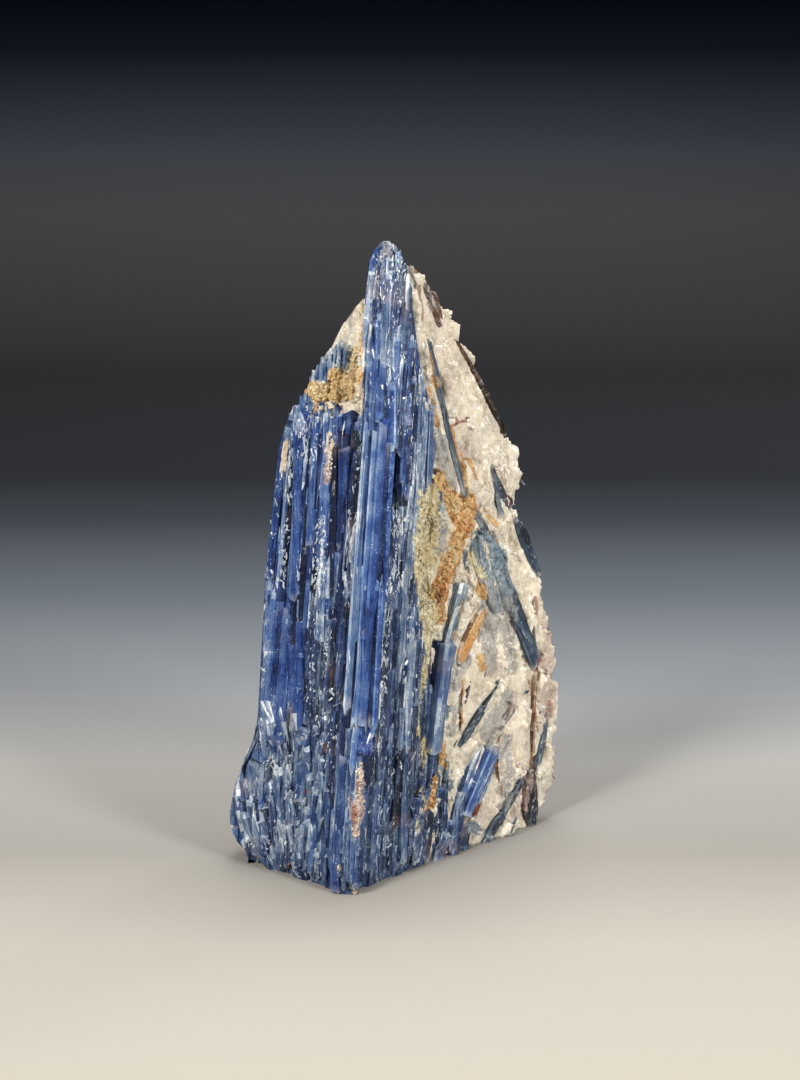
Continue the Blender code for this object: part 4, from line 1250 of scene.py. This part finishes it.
def dome(bm):
    """Draws the blue tip in to a worn dome, and rounds the foot."""
    dome_start, dome_height = 176, 14.2
    cap_start, cap_height = 186.6, 3.4
    round_foot, foot_pull = 6, 1.7
    for vertex in bm.verts:
        lift = (vertex.co.z - dome_start) / dome_height
        if lift > 0:
            axis = along(RIDGE, vertex.co.z) + CENTRE + Vector((0.6, 3.4, 0))
            axis.z = vertex.co.z
            share = max(0.62, max(0, 1 - lift * lift) ** 0.26)
            share *= 1 + 1.3 * max(0, (vertex.co.z - cap_start) / cap_height) ** 2
            vertex.co = axis + (vertex.co - axis) * share
        elif vertex.co.z < round_foot and vertex.co.y < 20:
            inwards = Vector((0, 14, 0)) - vertex.co
            inwards.z = 0
            low = 1 - max(0, vertex.co.z) / round_foot
            vertex.co += inwards.normalized() * foot_pull * low ** 2


def splinters(materials):
    """Slivers and torn fibres in patches over the blue faces."""
    rng = random.Random(SEED + 1)
    heap = Heap(rng, blades(rng, 12, 2, "spindle"))
    blocks = blades(rng, 12, 1)
    surface = DrawnSkin("kyanite_fan")
    for layer in SPLINTER_LAYERS:
        lay_blades(heap, surface, layer, (0.02, 0.22), (0.5, 1.1), 3.0, 0.34)
    for face, rows in FLAKES.items():
        for reach, heights, lean, count, tone in rows:
            for _ in range(count):
                across = rng.triangular(*reach)
                hit, outwards = spot(surface, face, across, rng.uniform(*heights))
                if hit is None or noise.noise(hit / 2.6) < rng.uniform(-0.4, 0.3):
                    continue
                angle = math.radians(-lean if face == "left" else lean) + rng.gauss(0, 0.35)
                half = leaning(outwards, angle) * rng.uniform(0.15, 0.7) * rng.choice((1, 1, 1, 2.4))
                heap.blade(
                    hit - half, hit + half, outwards, rng.uniform(0.25, 1.0), 0.7, rng.uniform(0.02, 0.3),
                    tone + rng.uniform(-0.45, 0.1), rng.uniform(0.1, 0.9), rng.gauss(0, 0.5), shapes=blocks,
                )  # fmt: skip
    piece("kyanite_splinters", heap.bm, materials["fan"])


def embedded_crystals(materials):
    """Every crystal that lies in the quartz, and those that stand in the notch."""
    bedded = 0.9  # how deep a crystal of the quartz lies in its own solid
    rng = random.Random(SEED + 2)
    shapes = blades(rng, 12, 3, "spindle")
    surface = skin("quartz_matrix", *crystal_names())
    for name, finish, slot, face, rows in CRYSTALS:
        heap = Heap(rng, shapes)
        for row in rows:
            bundle(heap, surface, face, row, bedded)
        piece(name + "_strands", heap.bm, materials[finish], (name,))
    heap = Heap(rng, shapes)
    surface = skin("kyanite_mass", "quartz_matrix")
    for row in NOTCH:
        bundle(heap, surface, "left", row, None)
    piece("notch_crystals", heap.bm, materials["royal"])


def quartz_block():
    """The quartz in small even quads, with each crystal's pocket closed round what lies in it."""
    growth = 0.5  # closes the clearance round a crystal that lies in the quartz
    sink = 1.7  # and leaves the crystal's front standing out
    block = merged("quartz_matrix")
    for name in crystal_names():
        filler = merged(name)
        filler.normal_update()
        points = np.array([v.co for v in filler.verts])
        away = points.mean(0) * (1, 1, 0) - np.array((0, 4, 0))
        lean = np.linalg.svd(points - points.mean(0))[2][0]
        away -= lean * (away @ lean)
        away = Vector(away / np.linalg.norm(away))
        for vertex in filler.verts:
            vertex.co += vertex.normal * growth - away * sink
        block.from_mesh(as_mesh(filler, "filler"))
    obj = add_object("block", as_mesh(block, "block"))
    remesh = obj.modifiers.new("even", "REMESH")
    remesh.mode = "VOXEL"
    remesh.voxel_size = 0.8
    graph = bpy.context.evaluated_depsgraph_get()
    made = bmesh.new()
    made.from_mesh(obj.evaluated_get(graph).to_mesh())
    bpy.data.objects.remove(obj)
    return made


def broken_face(point, size, slope, seed):
    """How far a broken crystal face stands out at a point: every cell is a plane of its own tilt."""
    place = Vector((point.x, point.y, point.z * 0.7)) / size + Vector((seed, seed, seed))
    feature = Vector(noise.voronoi(place)[1][0])
    tilt = noise.cell_vector(feature * 7.31)
    return (place - feature).dot(tilt) * size * slope + (tilt.x + tilt.y) * size * slope * 0.1


def quartz_lumps(materials):
    """The quartz with its broken crystalline surface, which is calm and sunk round the crystals."""
    thin_part = 150  # from here up the quartz is thin, and its lumps are lower
    bm = quartz_block()
    crystals = DrawnSkin(*(name + "_strands" for name in crystal_names()), "notch_crystals")
    bm.normal_update()
    moves = []
    for vertex in bm.verts:
        point = vertex.co
        gap = crystals.gap(point, 4)
        calm = 1.0 if gap is None else held((gap - 0.1) / 1.6, 0.0, 1.0)
        height = broken_face(point, 7.0, 0.42, 3) + broken_face(point, 3.0, 0.34, 9) * 0.6
        if point.z > thin_part:
            height *= 0.6
        sink = 0.9 if point.z < thin_part else 0.4
        moves.append(vertex.normal * (height * calm - sink * (1 - calm)))
    for vertex, move in zip(bm.verts, moves):
        vertex.co += move
    trim(bm, SEAM_BACK, (138, 176), SEAM_OVERHANG)
    for face in bm.faces:
        face.smooth = True
    piece("quartz_lumps", bm, materials["quartz"], ("quartz_matrix",))


def slivers(materials):
    """The thin slivers in the right face, and small ones scattered over the whole quartz."""
    rng = random.Random(SEED + 4)
    heap = Heap(rng, blades(rng, 8, 2, "spindle"))
    surface = skin("quartz_matrix", *crystal_names())
    for row in SLIVERS:
        bundle(heap, surface, "right", row)
    surface = DrawnSkin("quartz_lumps")
    for _ in range(110):
        face, last, top = rng.choice(SLIVER_REACH)
        across = rng.uniform(34 if face == "right" else 0, last)
        hit, outwards = spot(surface, face, across, rng.uniform(3, top))
        if hit is None:
            continue
        half = leaning(outwards, math.radians(rng.gauss(-38, 16))) * rng.uniform(0.6, 4.0)
        heap.blade(hit - half, hit + half, outwards, rng.uniform(0.25, 0.9), 0.9, rng.uniform(0.0, 0.35),
                   rng.uniform(0.25, 0.8), rng.choice((0.0, 0.3, 1.0, 1.0)))  # fmt: skip
    piece("dark_slivers", heap.bm, materials["rusty"])


def crusts(materials):
    """Coarse grains heaped where iron has stained the specimen."""
    rng = random.Random(SEED + 3)
    heap = Heap(rng, [grain_shape(rng) for _ in range(10)])
    surface = DrawnSkin("kyanite_fan", "quartz_lumps")
    for face, start, end, spread, count, sizes in CRUSTS:
        for _ in range(count):
            share = rng.random()
            across = start[0] + (end[0] - start[0]) * share + rng.gauss(0, 0.5) * spread
            z = start[1] + (end[1] - start[1]) * share + rng.gauss(0, 0.5) * spread
            hit, outwards = spot(surface, face, across, z)
            if hit is None:
                continue
            size = rng.uniform(*sizes)
            turn = Matrix.Rotation(rng.uniform(0, math.tau), 4, Vector((rng.random(), rng.random(), 1)))
            scale = Matrix.Diagonal((size, size * rng.uniform(0.7, 1.3), size * rng.uniform(0.7, 1.4), 1))
            matrix = Matrix.Translation(hit + outwards * size * rng.uniform(-0.1, 0.3)) @ turn @ scale
            heap.add(rng.choice(heap.shapes), matrix, (size, size, size), rng.uniform(0.3, 0.9), 0.5)
    piece("stained_grains", heap.bm, materials["quartz"])


# ---------------------------------------------------------------- floor, lights and camera


def floor():
    """A table whose colour paints the light falling off, pale in front and into the dark behind the specimen,
    where it turns up, with a painted shadow band near the specimen.
    """
    wall, wall_height = 1.5, 4
    bm = bmesh.new()
    bmesh.ops.create_grid(bm, x_segments=1, y_segments=2, size=1, matrix=Matrix.Diagonal((6, 5, 1, 1)))
    for vertex in bm.verts:
        if vertex.co.y > 4:
            vertex.co = (vertex.co.x, wall, wall_height)
        elif vertex.co.y > -4:
            vertex.co.y = wall
    corner = [edge for edge in bm.edges if all(v.co.y == wall and v.co.z == 0 for v in edge.verts)]
    bmesh.ops.bevel(bm, geom=corner, offset=0.45, segments=16, profile=0.5, affect="EDGES")
    for face in bm.faces:
        face.smooth = True
    material, nodes, shader = new_material("floor")
    cut = nodes.add("SeparateXYZ", {0: nodes.place()})
    back, up = (Signal(nodes, socket) for socket in cut.outputs[1:3])
    distance = nodes.math("MULTIPLY", back + up * 1.67 + 0.5, 0.4, clamp=True)
    # painted light: the ramp darkens the floor with distance as a painted falloff of light, and its dip at
    # 0.20 is a painted shadow near the specimen
    colour = nodes.ramp(distance, (
        (0.14, (0.43, 0.40, 0.34)), (0.172, (0.40, 0.37, 0.325)), (0.20, (0.28, 0.265, 0.24)),
        (0.235, (0.315, 0.305, 0.29)), (0.276, (0.195, 0.21, 0.225)), (0.328, (0.10, 0.113, 0.13)),
        (0.392, (0.037, 0.042, 0.050)), (0.44, (0.020, 0.022, 0.026)), (0.6, (0.025, 0.025, 0.027)),
        (0.8, (0.050, 0.050, 0.052)), (0.855, (0.039, 0.044, 0.053)), (0.9, (0.021, 0.025, 0.033)),
        (0.946, (0.005, 0.007, 0.011)), (0.994, (0.001, 0.002, 0.004)),
    ))  # fmt: skip
    nodes.feed(shader, {"Base Color": colour, "Roughness": 0.8, "Specular IOR Level": 0.0})
    obj = add_object("floor", as_mesh(bm, "floor"))
    obj.data.materials.append(material)


def aim(obj, place, way):
    """Puts a light or the camera in its place and turns it to look along a direction."""
    obj.location = place
    obj.rotation_mode = "QUATERNION"
    obj.rotation_quaternion = way.to_track_quat("-Z", "Y")


def area_light(name, place, target, size, power, colour=(1, 1, 1)):
    data = bpy.data.lights.new(name, "AREA")
    data.shape = "DISK"
    data.size = size
    data.energy = power
    data.color = colour
    aim(add_object(name, data), place, Vector(target) - Vector(place))


def lights():
    middle = (0, 0, 0.09)
    area_light("key", (-0.75, -0.85, 1.05), middle, 0.4, 21.5, (1.0, 0.98, 0.95))
    area_light("fill", (0.95, -0.9, 0.7), middle, 0.4, 17, (1.0, 0.99, 0.97))
    area_light("top", (0.1, 0.25, 1.2), middle, 0.8, 7)
    area_light("rim", (0.7, 0.8, 0.6), middle, 0.4, 4)
    area_light("backdrop", (0, 0.7, 1.5), (0, 1.5, 0.1), 0.8, 12)
    world = bpy.data.worlds.new("room")
    world.use_nodes = True
    world.node_tree.nodes["Background"].inputs["Color"].default_value = (0.0015, 0.002, 0.004, 1)
    bpy.context.scene.world = world


def camera():
    """A long lens that looks down a little on the middle of the specimen."""
    target, away, lift = Vector((0.001015, 0.000334, 0.1)), 0.63635, math.radians(13)
    data = bpy.data.cameras.new("camera")
    data.lens = 70
    data.clip_start = 0.01
    data.clip_end = 100
    back = Vector((0, -math.cos(lift), math.sin(lift)))
    obj = add_object("camera", data)
    aim(obj, target + back * away, -back)
    bpy.context.scene.camera = obj
    bpy.context.scene.view_settings.view_transform = "Standard"


def main():
    noise.seed_set(SEED)
    groups = {"grain": grain_group(), "stains": stain_group(), "facets": facet_group()}
    materials = {
        "fan": kyanite("kyanite fan", groups, ROYAL, SLATE),
        "royal": kyanite("kyanite royal", groups, ROYAL, SLATE, 0.25, 0.3),
        "slate": kyanite("kyanite slate", groups, SLATE, TEAL, 0.24, 0.3),
        "rusty": kyanite("kyanite rusty", groups, RUSTY, TEAL, 0.28, 0.25),
        "quartz": quartz_material(groups),
    }
    blue_fan(materials)
    splinters(materials)
    embedded_crystals(materials)
    quartz_lumps(materials)
    slivers(materials)
    crusts(materials)
    floor()
    lights()
    camera()


main()
